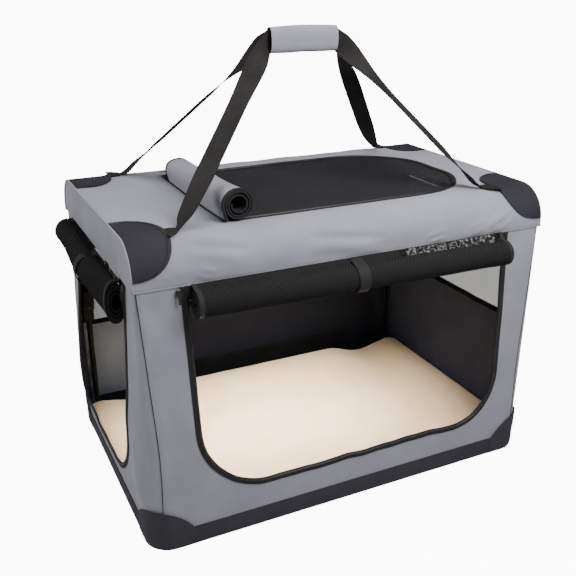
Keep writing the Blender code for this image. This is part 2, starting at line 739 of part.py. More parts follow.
def build_mat():
    """A fleece mat as long as the base: flat between the end bars and thinner where it lies over them."""
    foot = BASE_PANEL_THICKNESS + GAP
    over = BASE_AXLE_HEIGHT + AXLE_BORE + SADDLE_WALL + 2 * GAP
    top_of_climb = AXLE_X - AXLE_BORE - SADDLE_WALL - 5 * GAP
    arc_start = MAT_LENGTH / 2 - MAT_CORNER_RADIUS
    places = [(top_of_climb - MAT_CLIMB, foot, MAT_THICKNESS), (top_of_climb, over, MAT_END_THICKNESS)]
    for turn, share in ((40, 1.0), (55, 1.0), (68, 0.9), (80, 0.7), (90, 0.35)):
        x = arc_start + MAT_CORNER_RADIUS * math.sin(math.radians(turn))
        thickness = MAT_END_THICKNESS * share
        places.append((x, over + (MAT_END_THICKNESS - thickness) / 2, thickness))
    rings = [mat_ring(-x, under, thickness, MAT_EDGE_ROUND) for x, under, thickness in reversed(places)]
    rings += [mat_ring(x, under, thickness, MAT_EDGE_ROUND) for x, under, thickness in places]
    points = [p for ring in rings for p in ring]
    count = len(rings[0])
    faces = [tuple(range(count))]
    for j in range(len(rings) - 1):
        for i in range(count):
            k = (i + 1) % count
            faces.append((j * count + i, (j + 1) * count + i, (j + 1) * count + k, j * count + k))
    last = (len(rings) - 1) * count
    faces.append(tuple(range(last + count - 1, last - 1, -1)))
    put("floor_mat", mesh_from("floor_mat", points, faces), FLEECE)


build_mat()


# Rolled doors and cover

def spiral_strip(radius, turns, seam, start_angle, direction):
    """Section of a rolled cloth: from its seam, onto the roll's outside and round to its core."""
    outer = radius - ROLL_CLOTH / 2
    points = [Vector(seam)]
    count = int(turns * ROLL_STEPS)
    for k in range(count + 1):
        angle = start_angle + direction * 2 * math.pi * k / ROLL_STEPS
        r = outer - ROLL_PITCH * k / ROLL_STEPS
        points.append(Vector((r * math.cos(angle), r * math.sin(angle))))
    return points


def roll(name, section, place, ends, material):
    """A rolled cloth: its section spread between two ends."""
    rows = [[place(p, end) for p in section] for end in ends]
    return sheet(name, rows, ROLL_CLOTH, 0, material)


def band(name, radius, place, middle, from_angle, to_angle, material):
    """A narrow cloth band round a roll."""
    steps = 14
    arc = []
    for k in range(steps + 1):
        angle = from_angle + (to_angle - from_angle) * k / steps
        arc.append(Vector((radius * math.cos(angle), radius * math.sin(angle))))
    half = ROLL_BAND_WIDTH / 2
    rows = [[place(p, middle + sign * half) for p in arc] for sign in (-1, 1)]
    return sheet(name, rows, ROLL_BAND_THICKNESS, 0, material)


def build_rolls():
    """The rolled front and left doors, each under its seam, and the rolled cover on the roof."""
    z = SEAM_HEIGHT - ROLL_DROP
    y_front = -(half_width(z) + ROLL_OUTSET)
    x_left = -(half_length(z) + ROLL_OUTSET)
    band_radius = ROLL_RADIUS + GAP + ROLL_BAND_THICKNESS / 2

    def front_place(p, along):
        return Vector((along, y_front + p.x, z + p.y))

    def left_place(p, along):
        return Vector((x_left + p.x, along, z + p.y))

    seam = (ROLL_OUTSET - ROLL_CLOTH, ROLL_DROP - ROLL_CLOTH / 2 - GAP)
    start = math.radians(75)
    section = spiral_strip(ROLL_RADIUS, ROLL_TURNS, seam, start, 1)
    half = FRONT_DOOR_WIDTH / 2 - ROLL_END_CLEARANCE
    roll("front_door_roll", section, front_place, (-half, half), BLACK_MESH)
    half = LEFT_DOOR_WIDTH / 2 - ROLL_END_CLEARANCE
    roll("left_door_roll", section, left_place, (-half, half), BLACK_MESH)
    arc = (math.radians(100), math.radians(370))
    band("front_roll_band", band_radius, front_place, FRONT_BAND_OFFSET, arc[0], arc[1], DARK_CLOTH)
    band("left_roll_band", band_radius, left_place, LEFT_BAND_OFFSET, arc[0], arc[1], DARK_CLOTH)

    top = HEIGHT + GAP + TAPE_THICKNESS + GAP
    x_cover = ROOF_HATCH_LEFT + COVER_ROLL_SETBACK
    z_cover = top + COVER_ROLL_RADIUS

    def cover_place(p, along):
        return Vector((x_cover + p.x, along, z_cover + p.y))

    seam = (-COVER_ROLL_SETBACK, ROLL_CLOTH / 2 - COVER_ROLL_RADIUS)
    section = spiral_strip(COVER_ROLL_RADIUS, COVER_ROLL_TURNS, seam, math.radians(205), -1)
    ends = (ROOF_HATCH_FRONT - TAPE_WIDTH / 2, ROOF_HATCH_BACK - COVER_ROLL_SHORTFALL)
    roll("roof_cover_roll", section, cover_place, ends, GREY_CLOTH)


build_rolls()


# Handle

GRIP = Vector((GRIP_OFFSET_X, 0.0, GRIP_LEVEL))


def strap_path(sx, sy):
    """A strap's middle line and its flat side's direction, from its sewn root to the grip."""
    level = HEIGHT + GAP + STRAP_THICKNESS
    root = Vector((sx * STRAP_ROOT_X, sy * STRAP_ROOT_Y, level))
    inside = Vector((GRIP.x + sx * (GRIP_LENGTH / 2 - 0.02), sy * (STRAP_THICKNESS / 2 + GAP), GRIP.z))
    leave = Vector((GRIP.x + sx * (GRIP_LENGTH / 2 + 0.004), sy * (STRAP_THICKNESS / 2 + GAP), GRIP.z - 0.002))
    run = (leave - root).normalized()
    level_way = Vector((0, 0, 1)).cross(run).normalized() * -sx
    upright = Vector((0, 0, 1))
    tail = root + Vector((sx * STRAP_TAIL, 0, 0))
    flat_way = Vector((0, 1, 0))
    steps = 6
    line = [(tail, flat_way), (root + Vector((sx * 0.006, 0, 0)), flat_way)]
    for k in range(1, steps + 1):
        share = k / (steps + 1)
        place = root.lerp(leave, share)
        twist = max(0.0, (share - 0.6) / 0.4) ** 1.5
        start = max(0.0, 1 - share / 0.25)
        way = level_way.lerp(upright, twist).lerp(flat_way, start)
        way -= run * way.dot(run)
        line.append((place, way.normalized()))
    line += [(leave, upright), (inside, upright)]
    return line


def build_handle():
    """Two webbing straps that cross the crate's length, held together by a padded grip."""
    for side, sy in (("front", -1), ("back", 1)):
        left = strap_path(-1, sy)
        right = strap_path(1, sy)
        line = left + list(reversed(right))
        rows = [[p + w * STRAP_WIDTH / 2 * sign for p, w in line] for sign in (-1, 1)]
        sheet(f"{side}_strap", rows, STRAP_THICKNESS, 0, WEBBING)
    ring = []
    height = GRIP_HEIGHT / 2
    depth = GRIP_DEPTH / 2
    steps = 20
    for k in range(steps + 1):
        angle = math.radians(-84) + math.radians(348) * k / steps
        power = 0.75
        y = math.copysign(abs(math.cos(angle)) ** power, math.cos(angle)) * depth
        z = math.copysign(abs(math.sin(angle)) ** power, math.sin(angle)) * height
        ring.append((y, z))
    rows = [[Vector((GRIP.x + sign * GRIP_LENGTH / 2, y, GRIP.z + z)) for y, z in ring] for sign in (-1, 1)]
    sheet("handle_grip", rows, GRIP_WALL, 1, GREY_CLOTH)


build_handle()


# Zip sliders

def slider(name, centre, along, out):
    """A zip slider on its tape and the pull tab that swings from it."""
    across = along.cross(out)
    frame = Matrix((across, along, out)).transposed().to_4x4()
    body = block(name, (-SLIDER_WIDTH / 2, -SLIDER_LENGTH / 2, 0), (SLIDER_WIDTH / 2, SLIDER_LENGTH / 2, SLIDER_THICKNESS),
                 BLACK_PLASTIC)
    body.matrix_world = Matrix.Translation(centre) @ frame @ Matrix.Translation(body.location)
    bevel = body.modifiers.new("round", "BEVEL")
    bevel.width = 0.0012
    bevel.segments = 1
    low = SLIDER_THICKNESS + GAP
    pull = block(name + "_pull", (-PULL_WIDTH / 2, -PULL_LENGTH, low), (PULL_WIDTH / 2, 0, low + PULL_THICKNESS),
                 BLACK_PLASTIC)
    pull.matrix_world = Matrix.Translation(centre) @ frame @ Matrix.Translation(pull.location)


def build_sliders():
    """One slider at the start of each opening's tape."""
    lean_front = math.atan(SIDE_LEAN / HEIGHT)
    lean_left = math.atan(END_LEAN / HEIGHT)
    z = WALL_HEAD - SLIDER_START
    x = -(FRONT_DOOR_WIDTH + TAPE_WIDTH) / 2
    place = on_wall("front", x, z, TAPE_THICKNESS + 2 * GAP)
    slider("front_slider", place, Vector((0, math.sin(lean_front), math.cos(lean_front))),
           Vector((0, -math.cos(lean_front), math.sin(lean_front))))
    y = -(LEFT_DOOR_WIDTH + TAPE_WIDTH) / 2
    place = on_wall("left", y, z, TAPE_THICKNESS + 2 * GAP)
    slider("left_slider", place, Vector((math.sin(lean_left), 0, math.cos(lean_left))),
           Vector((-math.cos(lean_left), 0, math.sin(lean_left))))
    y = ROOF_HATCH_BACK + TAPE_WIDTH / 2
    place = Vector((ROOF_HATCH_LEFT + ROOF_HATCH_HINGE_RADIUS, y, HEIGHT + TAPE_THICKNESS + 2 * GAP))
    slider("roof_slider", place, Vector((1, 0, 0)), Vector((0, 0, 1)))


build_sliders()

for made in crate.objects:
    if made.type == "MESH":
        made.data.shade_smooth()
        made.data.set_sharp_from_angle(angle=math.radians(35))
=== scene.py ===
# Soft dog crate on a folding tube frame, its doors and its roof cover rolled up.
# Metres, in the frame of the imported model: +Z up, +X along the crate, -Y towards the front door.
# The file follows the crate as it is put together, from the room it stands in to its zip pulls.

import math

import bmesh
import bpy
from mathutils import Matrix, Vector, noise


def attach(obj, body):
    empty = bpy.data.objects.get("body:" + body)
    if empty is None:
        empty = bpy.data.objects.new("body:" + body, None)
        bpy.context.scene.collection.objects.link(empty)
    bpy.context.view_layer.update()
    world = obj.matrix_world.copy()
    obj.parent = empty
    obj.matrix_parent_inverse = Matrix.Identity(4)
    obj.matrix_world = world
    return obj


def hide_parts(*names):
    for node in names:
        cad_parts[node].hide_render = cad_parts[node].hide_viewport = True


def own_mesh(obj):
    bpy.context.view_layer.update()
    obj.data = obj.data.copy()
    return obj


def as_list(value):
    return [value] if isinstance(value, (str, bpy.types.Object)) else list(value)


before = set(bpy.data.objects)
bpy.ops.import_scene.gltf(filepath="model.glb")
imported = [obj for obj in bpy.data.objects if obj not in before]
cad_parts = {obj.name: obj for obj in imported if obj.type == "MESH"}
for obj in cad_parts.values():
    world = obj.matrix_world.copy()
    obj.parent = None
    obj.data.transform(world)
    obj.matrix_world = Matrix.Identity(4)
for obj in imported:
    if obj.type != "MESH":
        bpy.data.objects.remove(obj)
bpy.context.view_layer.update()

# The room
# A plain pale floor that runs on past the view, a white backdrop, soft boxes in front, at the left and
# above, and a weak one under the roof. The camera stands at the crate's front left, at a standing height.

FLOOR_REACH = 60.0
FLOOR_LEVEL = -0.0003
WHITE_GLOW = 11.0
SKY_STRENGTH = 0.12
CAMERA_PLACE = Vector((-0.8746, -1.7785, 1.2439))
CAMERA_FORWARD = Vector((0.4015, 0.8352, -0.3759))
CAMERA_RIGHT = Vector((0.9013, -0.4333, 0.0))
CAMERA_LENS = 49.08
CAMERA_SENSOR = 36.0


def new_finish(name, colour, roughness):
    """A finish with its Principled shader, ready for the nodes that vary it."""
    finish = bpy.data.materials.new(name)
    finish.use_nodes = True
    shader = finish.node_tree.nodes["Principled BSDF"]
    shader.inputs["Base Color"].default_value = (*colour, 1.0)
    shader.inputs["Roughness"].default_value = roughness
    return finish, finish.node_tree, shader


def set_gloss(finish, level):
    """Sets how strongly a finish mirrors what is round it."""
    finish.node_tree.nodes["Principled BSDF"].inputs["Specular IOR Level"].default_value = level


def add_node(tree, kind, inputs=None, **settings):
    """A shader node: its inputs take a value, or another node's output."""
    made = tree.nodes.new("ShaderNode" + kind)
    for label, value in settings.items():
        setattr(made, label, value)
    for label, value in (inputs or {}).items():
        if isinstance(value, bpy.types.NodeSocket):
            tree.links.new(value, made.inputs[label])
        else:
            made.inputs[label].default_value = value
    return made


def ramp(tree, value, low, high, to_low=0.0, to_high=1.0):
    """A value's range carried over to another, smoothly."""
    inputs = {"Value": value, "From Min": low, "From Max": high, "To Min": to_low, "To Max": to_high}
    return add_node(tree, "MapRange", inputs, interpolation_type="SMOOTHSTEP").outputs[0]


def blend(tree, share, dark, light):
    """A colour between two, which are fixed colours or node outputs, by a share.

    Sockets 6 and 7 of the Mix node take colours, and its colour comes out of 2.
    """
    return add_node(tree, "Mix", {0: share, 6: dark, 7: light}, data_type="RGBA").outputs[2]


def tint(tree, share, dark, light):
    """A colour between two fixed ones, by a share."""
    return blend(tree, share, (*dark, 1.0), (*light, 1.0))


def new_mesh(name, points, faces):
    """A mesh from its points and faces."""
    mesh = bpy.data.meshes.new(name)
    mesh.from_pydata([tuple(point) for point in points], [], faces)
    return mesh


def show(name, mesh, *finishes):
    """An object for a mesh, in the scene, with its finishes."""
    made = bpy.data.objects.new(name, mesh)
    for finish in finishes:
        mesh.materials.append(finish)
    bpy.context.scene.collection.objects.link(made)
    return made


floor_corners = [(sx * FLOOR_REACH, sy * FLOOR_REACH, FLOOR_LEVEL) for sx, sy in ((-1, -1), (1, -1), (1, 1), (-1, 1))]
floor_mesh = new_mesh("studio_floor", floor_corners, [(0, 1, 2, 3)])
pale_floor, tree, shader = new_finish("pale_floor", (0.55, 0.55, 0.55), 0.9)
place = add_node(tree, "TexCoord").outputs["Object"]
drift = add_node(tree, "TexNoise", {"Vector": place, "Scale": 0.7, "Detail": 2.0}).outputs["Fac"]
tree.links.new(tint(tree, drift, (0.54, 0.54, 0.54), (0.56, 0.56, 0.56)), shader.inputs["Base Color"])
set_gloss(pale_floor, 0.0)
shader.inputs["Emission Color"].default_value = (1.0, 1.0, 1.0, 1.0)
seen = add_node(tree, "LightPath").outputs["Is Camera Ray"]
glow = add_node(tree, "Math", {0: seen, 1: WHITE_GLOW}, operation="MULTIPLY").outputs[0]
tree.links.new(glow, shader.inputs["Emission Strength"])
studio_floor = show("studio_floor", floor_mesh, pale_floor)

sky = bpy.data.worlds.new("soft_sky")
sky.use_nodes = True
sky.node_tree.nodes["Background"].inputs["Color"].default_value = (1.0, 1.0, 1.0, 1.0)
seen = add_node(sky.node_tree, "LightPath").outputs["Is Camera Ray"]
glow = add_node(sky.node_tree, "Math", {0: seen, 1: WHITE_GLOW, 2: SKY_STRENGTH}, operation="MULTIPLY_ADD").outputs[0]
sky.node_tree.links.new(glow, sky.node_tree.nodes["Background"].inputs["Strength"])
bpy.context.scene.world = sky


def soft_lamp(name, place, target, size, power, spread=180):
    """A soft lamp of a size, aimed at a point, its light kept within an angle."""
    data = bpy.data.lights.new(name, "AREA")
    data.shape = "RECTANGLE"
    data.size, data.size_y = size
    data.energy = power
    data.spread = math.radians(spread)
    made = bpy.data.objects.new(name, data)
    made.location = place
    made.visible_camera = False
    made.rotation_euler = (Vector(target) - Vector(place)).to_track_quat("-Z", "Y").to_euler()
    bpy.context.scene.collection.objects.link(made)


soft_lamp("key_lamp", (0.32, -1.25, 1.85), (0, -0.1, 0.5), (1.1, 1.1), 56)
soft_lamp("left_lamp", (-3.0, 0.4, 1.8), (0, 0, 0.4), (2.0, 2.0), 72)
soft_lamp("top_lamp", (-0.3, 0.3, 3.4), (-0.1, 0, 0.5), (2.0, 2.0), 44)
soft_lamp("inner_lamp", (-0.08, 0.0, 0.66), (-0.08, 0, 0), (0.70, 0.30), 5, 64)

camera_data = bpy.data.cameras.new("camera")
camera_data.lens = CAMERA_LENS
camera_data.sensor_width = CAMERA_SENSOR
camera = bpy.data.objects.new("camera", camera_data)
turn = Matrix((CAMERA_RIGHT, CAMERA_RIGHT.cross(CAMERA_FORWARD), -CAMERA_FORWARD)).transposed().to_4x4()
camera.matrix_world = Matrix.Translation(CAMERA_PLACE) @ turn
bpy.context.scene.collection.objects.link(camera)
bpy.context.scene.camera = camera

# Folding frame
# Loops and folding legs of bent 16 mm steel tube, powder coated black, with moulded nylon knuckles
# at the knees and nylon saddles on the loops. Black plated rivets pin each knee.


def new_effect(name, inputs, outputs):
    """A shared effect: a node group with named inputs and outputs."""
    tree = bpy.data.node_groups.new(name, "ShaderNodeTree")
    for label, kind, value in inputs:
        socket = tree.interface.new_socket(name=label, in_out="INPUT", socket_type="NodeSocket" + kind)
        if kind == "Float":
            socket.default_value = value
    for label, kind in outputs:
        tree.interface.new_socket(name=label, in_out="OUTPUT", socket_type="NodeSocket" + kind)
    return tree, tree.nodes.new("NodeGroupInput").outputs, tree.nodes.new("NodeGroupOutput").inputs


def place_effect(tree, effect, **values):
    """A shared effect placed in a finish with its own values."""
    made = tree.nodes.new("ShaderNodeGroup")
    made.node_tree = effect
    for label, value in values.items():
        label = label.replace("_", " ")
        if isinstance(value, bpy.types.NodeSocket):
            tree.links.new(value, made.inputs[label])
        else:
            made.inputs[label].default_value = value
    return made.outputs


def add_bump(tree, shader, height, distance):
    """Lets a height raise the surface by so many metres."""
    bump = add_node(tree, "Bump", {"Height": height, "Distance": distance, "Strength": 1.0})
    tree.links.new(bump.outputs["Normal"], shader.inputs["Normal"])


grain, inside, outside = new_effect(
    "moulded_grain", [("Vector", "Vector", None), ("Grains per metre", "Float", 900.0)],
    [("Height", "Float"), ("Patches", "Float")])
fine = add_node(grain, "TexNoise", {"Vector": inside["Vector"], "Scale": inside["Grains per metre"], "Detail": 2.0})
broad = add_node(grain, "TexNoise", {"Vector": inside["Vector"], "Scale": 14.0, "Detail": 4.0, "Roughness": 0.6})
grain.links.new(fine.outputs["Fac"], outside["Height"])
grain.links.new(broad.outputs["Fac"], outside["Patches"])


def grained_finish(name, dark, light, roughness, metallic, grains, depth):
    """A coated, moulded or plated finish: fine grain, with patches that are a little worn."""
    finish, tree, shader = new_finish(name, light, roughness)
    shader.inputs["Metallic"].default_value = metallic
    place = add_node(tree, "TexCoord").outputs["Object"]
    marks = place_effect(tree, grain, Vector=place, Grains_per_metre=grains)
    tree.links.new(tint(tree, ramp(tree, marks["Patches"], 0.35, 0.7), dark, light), shader.inputs["Base Color"])
    rough = ramp(tree, marks["Patches"], 0.3, 0.75, roughness - 0.07, roughness + 0.1)
    tree.links.new(rough, shader.inputs["Roughness"])
    add_bump(tree, shader, marks["Height"], depth)
    return finish


COAT_BLACK = (0.004, 0.004, 0.004)
powder_coat = grained_finish("powder_coat", COAT_BLACK, (0.008, 0.008, 0.008), 0.5, 0.0, 700.0, 0.00012)
moulded_nylon = grained_finish("moulded_nylon", COAT_BLACK, (0.009, 0.009, 0.009), 0.55, 0.0, 1400.0, 0.00008)
for finish in (powder_coat, moulded_nylon):
    set_gloss(finish, 0.12)
black_zinc = grained_finish("black_zinc", (0.030, 0.030, 0.029), (0.060, 0.060, 0.058), 0.4, 1.0, 2200.0, 0.00003)


def finish_node(name, finish):
    """Gives a carried-over node its finish."""
    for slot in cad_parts[name].material_slots:
        slot.material = finish


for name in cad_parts:
    if "legs" in name or name.endswith("loop"):
        finish_node(name, powder_coat)
    elif "knuckle" in name or "saddle" in name:
        finish_node(name, moulded_nylon)
    elif "pin" in name:
        finish_node(name, black_zinc)

# Base panel and skirt
# A stiff board covered in dark cloth closes the foot. A dark coated skirt runs round it, with a cut
# patch over each corner that rises above the skirt and is sewn on along its curved edge.

BASE_LENGTH = 1.067
BASE_WIDTH = 0.711
HEIGHT = 0.737
END_LEAN = 0.008
SIDE_LEAN = 0.0215
BASE_CORNER_RADIUS = 0.062
TOP_CORNER_RADIUS = 0.007
CORNER_HEIGHT = 0.640
SKIRT_FOOT = 0.0014
SKIRT_HEAD = 0.048
SKIRT_CLOTH = 0.0020
SKIRT_TUCK = 0.0016
SKIRT_TUCK_HEIGHT = 0.009
SKIRT_SEAM = 0.004
CORNER_RISE = 0.060
CORNER_REACH = 0.092
CORNER_CLOTH = 0.0012
CORNER_LIFT = 0.0016
CORNER_STEPS = 16
CORNER_NAMES = ("front_right", "back_right", "back_left", "front_left")
WELD = 0.000001
SIDES = ("front", "right", "back", "left")
SIDE_WAYS = {
    "front": (Vector((1, 0, 0)), Vector((0, -1, 0))), "right": (Vector((0, 1, 0)), Vector((1, 0, 0))),
    "back": (Vector((-1, 0, 0)), Vector((0, 1, 0))), "left": (Vector((0, -1, 0)), Vector((-1, 0, 0))),
}


def smooth(share):
    """A share from 0 to 1 that starts and ends gently."""
    share = min(1.0, max(0.0, share))
    return share * share * (3 - 2 * share)


def half_length(z):
    """Half the cover's length at a height."""
    return BASE_LENGTH / 2 - END_LEAN * z / HEIGHT


def half_width(z):
    """Half the cover's width at a height."""
    return BASE_WIDTH / 2 - SIDE_LEAN * z / HEIGHT


def corner_radius(z):
    """The cover's corner radius in plan at a height."""
    return max(TOP_CORNER_RADIUS, BASE_CORNER_RADIUS - (BASE_CORNER_RADIUS - TOP_CORNER_RADIUS) * z / CORNER_HEIGHT)


def straight_half(side, z):
    """Half of a side's straight stretch at a height."""
    return (half_length(z) if side in ("front", "back") else half_width(z)) - corner_radius(z)


def side_half(side, z):
    """Half of a side's length at a height, round to the middle of its corner."""
    return straight_half(side, z) + corner_radius(z) * math.pi / 4


def side_point(side, u, z, out=0.0):
    """A point of the crate's side. u runs along it from its middle, anticlockwise, and round the corner."""
    along, away = SIDE_WAYS[side]
    radius = corner_radius(z)
    straight = straight_half(side, z)
    depth = (half_width(z) if side in ("front", "back") else half_length(z)) - radius
    angle = max(0.0, abs(u) - straight) / radius
    reach = radius + out
    place = along * math.copysign(min(abs(u), straight) + reach * math.sin(angle), u)
    place = place + away * (depth + reach * math.cos(angle))
    return Vector((place.x, place.y, z))


def sewn_sheet(name, rows, surface, thickness, finishes, around=False):
    """A sheet of cloth with two faces and a rim.

    rows hold its flat (u, v) marks, and surface(u, v, out) places them. Its finishes are for its outer face, its
    lining and its rim, and where there are fewer the last one goes on. A sheet that runs around joins its ends.
    """
    count = len(rows[0])
    total = count * len(rows)
    points = [surface(u, v, 0.0) for row in rows for u, v in row]
    points += [surface(u, v, -thickness) for row in rows for u, v in row]
    marks = [mark for row in rows for mark in row] * 2
    faces, kinds = [], []
    runs = count if around else count - 1
    for j in range(len(rows) - 1):
        for i in range(runs):
            k = (i + 1) % count
            corner = (j * count + i, j * count + k, (j + 1) * count + k, (j + 1) * count + i)
            faces += [corner, tuple(total + c for c in reversed(corner))]
            kinds += [0, 1]
    edge = [(i, (i + 1) % count) for i in range(runs)]
    last = (len(rows) - 1) * count
    edge += [(last + (i + 1) % count, last + i) for i in range(runs)]
    if not around:
        edge += [((j + 1) * count, j * count) for j in range(len(rows) - 1)]
        edge += [(j * count + count - 1, (j + 1) * count + count - 1) for j in range(len(rows) - 1)]
    for a, b in edge:
        faces.append((b, a, total + a, total + b))
        kinds.append(2)
    mesh = new_mesh(name, points, faces)
    mesh.polygons.foreach_set("material_index", [min(kind, len(finishes) - 1) for kind in kinds])
    flat = mesh.uv_layers.new(name="flat_cloth")
    for loop in mesh.loops:
        flat.data[loop.index].uv = marks[loop.vertex_index]
    shape = bmesh.new()
    shape.from_mesh(mesh)
    bmesh.ops.remove_doubles(shape, verts=shape.verts, dist=WELD)
    bmesh.ops.recalc_face_normals(shape, faces=shape.faces)
    shape.to_mesh(mesh)
    shape.free()
    mesh.shade_smooth()
    mesh.set_sharp_from_angle(angle=math.radians(50))
    return show(name, mesh, *finishes)


weave, inside, outside = new_effect(
    "plain_weave", [("Vector", "Vector", None), ("Threads per metre", "Float", 1200.0)],
    [("Height", "Float"), ("Drift", "Float")])
flat = add_node(weave, "VectorMath", {0: inside["Vector"], "Scale": inside["Threads per metre"]}, operation="SCALE")
parts = add_node(weave, "SeparateXYZ", {0: flat.outputs[0]})
threads = []
turns = []
for axis in ("X", "Y"):
    across = add_node(weave, "Math", {0: parts.outputs[axis]}, operation="FRACT").outputs[0]
    middle = add_node(weave, "Math", {0: across, 1: 0.5}, operation="SUBTRACT").outputs[0]
    square = add_node(weave, "Math", {0: middle, 1: middle}, operation="MULTIPLY").outputs[0]
    threads.append(add_node(weave, "Math", {0: square, 1: -4.0, 2: 1.0}, operation="MULTIPLY_ADD").outputs[0])
    turns.append(add_node(weave, "Math", {0: parts.outputs[axis]}, operation="FLOOR").outputs[0])
both = add_node(weave, "Math", {0: turns[0], 1: turns[1]}, operation="ADD").outputs[0]
over = add_node(weave, "Math", {0: both, 1: 2.0}, operation="FLOORED_MODULO").outputs[0]
top = add_node(weave, "Mix", {0: over, 2: threads[0], 3: threads[1]})
drift = add_node(weave, "TexNoise", {"Vector": inside["Vector"], "Scale": 9.0, "Detail": 5.0, "Roughness": 0.62})
weave.links.new(top.outputs[0], outside["Height"])
weave.links.new(drift.outputs["Fac"], outside["Drift"])


def woven_finish(name, dark, light, roughness, threads, depth, sheen=0.0):
    """A woven cloth: threads that go over and under, painted darker between them as painted shade, a colour that drifts
    a little, and a faint sheen.
    """
    finish, tree, shader = new_finish(name, light, roughness)
    place = add_node(tree, "TexCoord").outputs["UV"]
    cloth = place_effect(tree, weave, Vector=place, Threads_per_metre=threads)
    # The colour is lighter on the threads' crowns and darker between them, a painted shade, mixed with a drift in tone
    # at random.
    shade = add_node(tree, "Math", {0: cloth["Height"], 1: 0.35, 2: ramp(tree, cloth["Drift"], 0.3, 0.7, 0.0, 0.65)},
                     operation="MULTIPLY_ADD").outputs[0]
    tree.links.new(tint(tree, shade, dark, light), shader.inputs["Base Color"])
    rough = ramp(tree, cloth["Drift"], 0.3, 0.7, roughness - 0.05, roughness + 0.05)
    tree.links.new(rough, shader.inputs["Roughness"])
    shader.inputs["Sheen Weight"].default_value = sheen
    shader.inputs["Sheen Roughness"].default_value = 0.5
    set_gloss(finish, 0.18)
    add_bump(tree, shader, cloth["Height"], depth)
    return finish


dark_oxford = woven_finish("dark_oxford", (0.026, 0.024, 0.032), (0.040, 0.037, 0.047), 0.72, 1400.0, 0.00012)
dark_patch = woven_finish("dark_patch", (0.015, 0.0145, 0.019), (0.024, 0.0225, 0.030), 0.74, 1400.0, 0.00012)
dark_thread = grained_finish("dark_thread", (0.012, 0.012, 0.013), (0.03, 0.03, 0.032), 0.6, 0.0, 2500.0, 0.00004)
finish_node("base_panel", dark_oxford)


def places_along(path, pitch):
    """Evenly spaced places along a path of (point, outward way) pairs: point, way ahead and outward way."""
    gone, due = 0.0, pitch / 2
    for (a, outward), (b, _) in zip(path, path[1:]):
        step = (b - a).length
        while step > 0 and due <= gone + step:
            yield a.lerp(b, (due - gone) / step), (b - a).normalized(), outward
            due += pitch
        gone += step


def stitch_row(name, path, pitch=0.0046, length=0.0032, radius=0.00042):
    """A row of dark stitches along a path: each is a short thread, pulled down into the cloth at its ends."""
    points, faces = [], []
    for place, ahead, outward in places_along(path, pitch):
        middle = place + outward * radius * 0.3
        side = ahead.cross(outward).normalized() * radius
        up = outward * radius
        base = len(points)
        points.append(middle - ahead * length / 2 - up * 0.6)
        for end in (-0.28, 0.28):
            points += [middle + ahead * length * end + way for way in (side, up, -side, -up)]
        points.append(middle + ahead * length / 2 - up * 0.6)
        for k in range(4):
            m = (k + 1) % 4
            faces += [(base, base + 1 + m, base + 1 + k), (base + 9, base + 5 + k, base + 5 + m)]
            faces.append((base + 1 + k, base + 1 + m, base + 5 + m, base + 5 + k))
    mesh = new_mesh(name, points, faces)
    mesh.shade_smooth()
    return show(name, mesh, dark_thread)


def path_on(surface, marks, out=0.0):
    """A path on a surface, as (point, outward way) pairs."""
    path = []
    for u, v in marks:
        low = surface(u, v, out)
        path.append((low, (surface(u, v, out + 0.002) - low).normalized()))
    return path


def skirt_tuck(z):
    """How far the skirt's foot is drawn in under the crate, at a height."""
    return -SKIRT_TUCK * (1 - smooth((z - SKIRT_FOOT) / SKIRT_TUCK_HEIGHT))


def skirt_surface(u, z, out):
    """The skirt's face. u runs on round all four sides, a whole number for each side's start."""
    side = SIDES[int(u) % 4]
    reach = side_half(side, z)
    return side_point(side, (2 * (u - int(u)) - 1) * reach, z, out + skirt_tuck(z))


skirt_marks = []
for side in range(4):
    straight = 44 if side % 2 == 0 else 30
    skirt_marks += [side + 0.12 * k / 10 for k in range(10)]
    skirt_marks += [side + 0.12 + 0.76 * k / straight for k in range(straight)]
    skirt_marks += [side + 0.88 + 0.12 * k / 10 for k in range(10)]
skirt_levels = [SKIRT_FOOT, 0.003, 0.006, 0.011, 0.020, 0.030, 0.040, SKIRT_HEAD - 0.001, SKIRT_HEAD]
skirt_rows = [[(u, z) for u in skirt_marks] for z in skirt_levels]
skirt = sewn_sheet("skirt", skirt_rows, skirt_surface, SKIRT_CLOTH, [dark_oxford], around=True)
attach(skirt, "root")
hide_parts("base_skirt")
skirt_length = 2 * sum(side_half(side, 0.02) for side in SIDES)
for mark in skirt.data.uv_layers[0].data:
    mark.uv.x *= skirt_length / 4


def corner_head(distance):
    """A patch's curved upper edge at a distance from the corner's middle."""
    share = max(0.0, 1 - abs(distance) / CORNER_REACH)
    return SKIRT_HEAD + CORNER_RISE * math.sin(share * math.pi / 2) ** 0.8


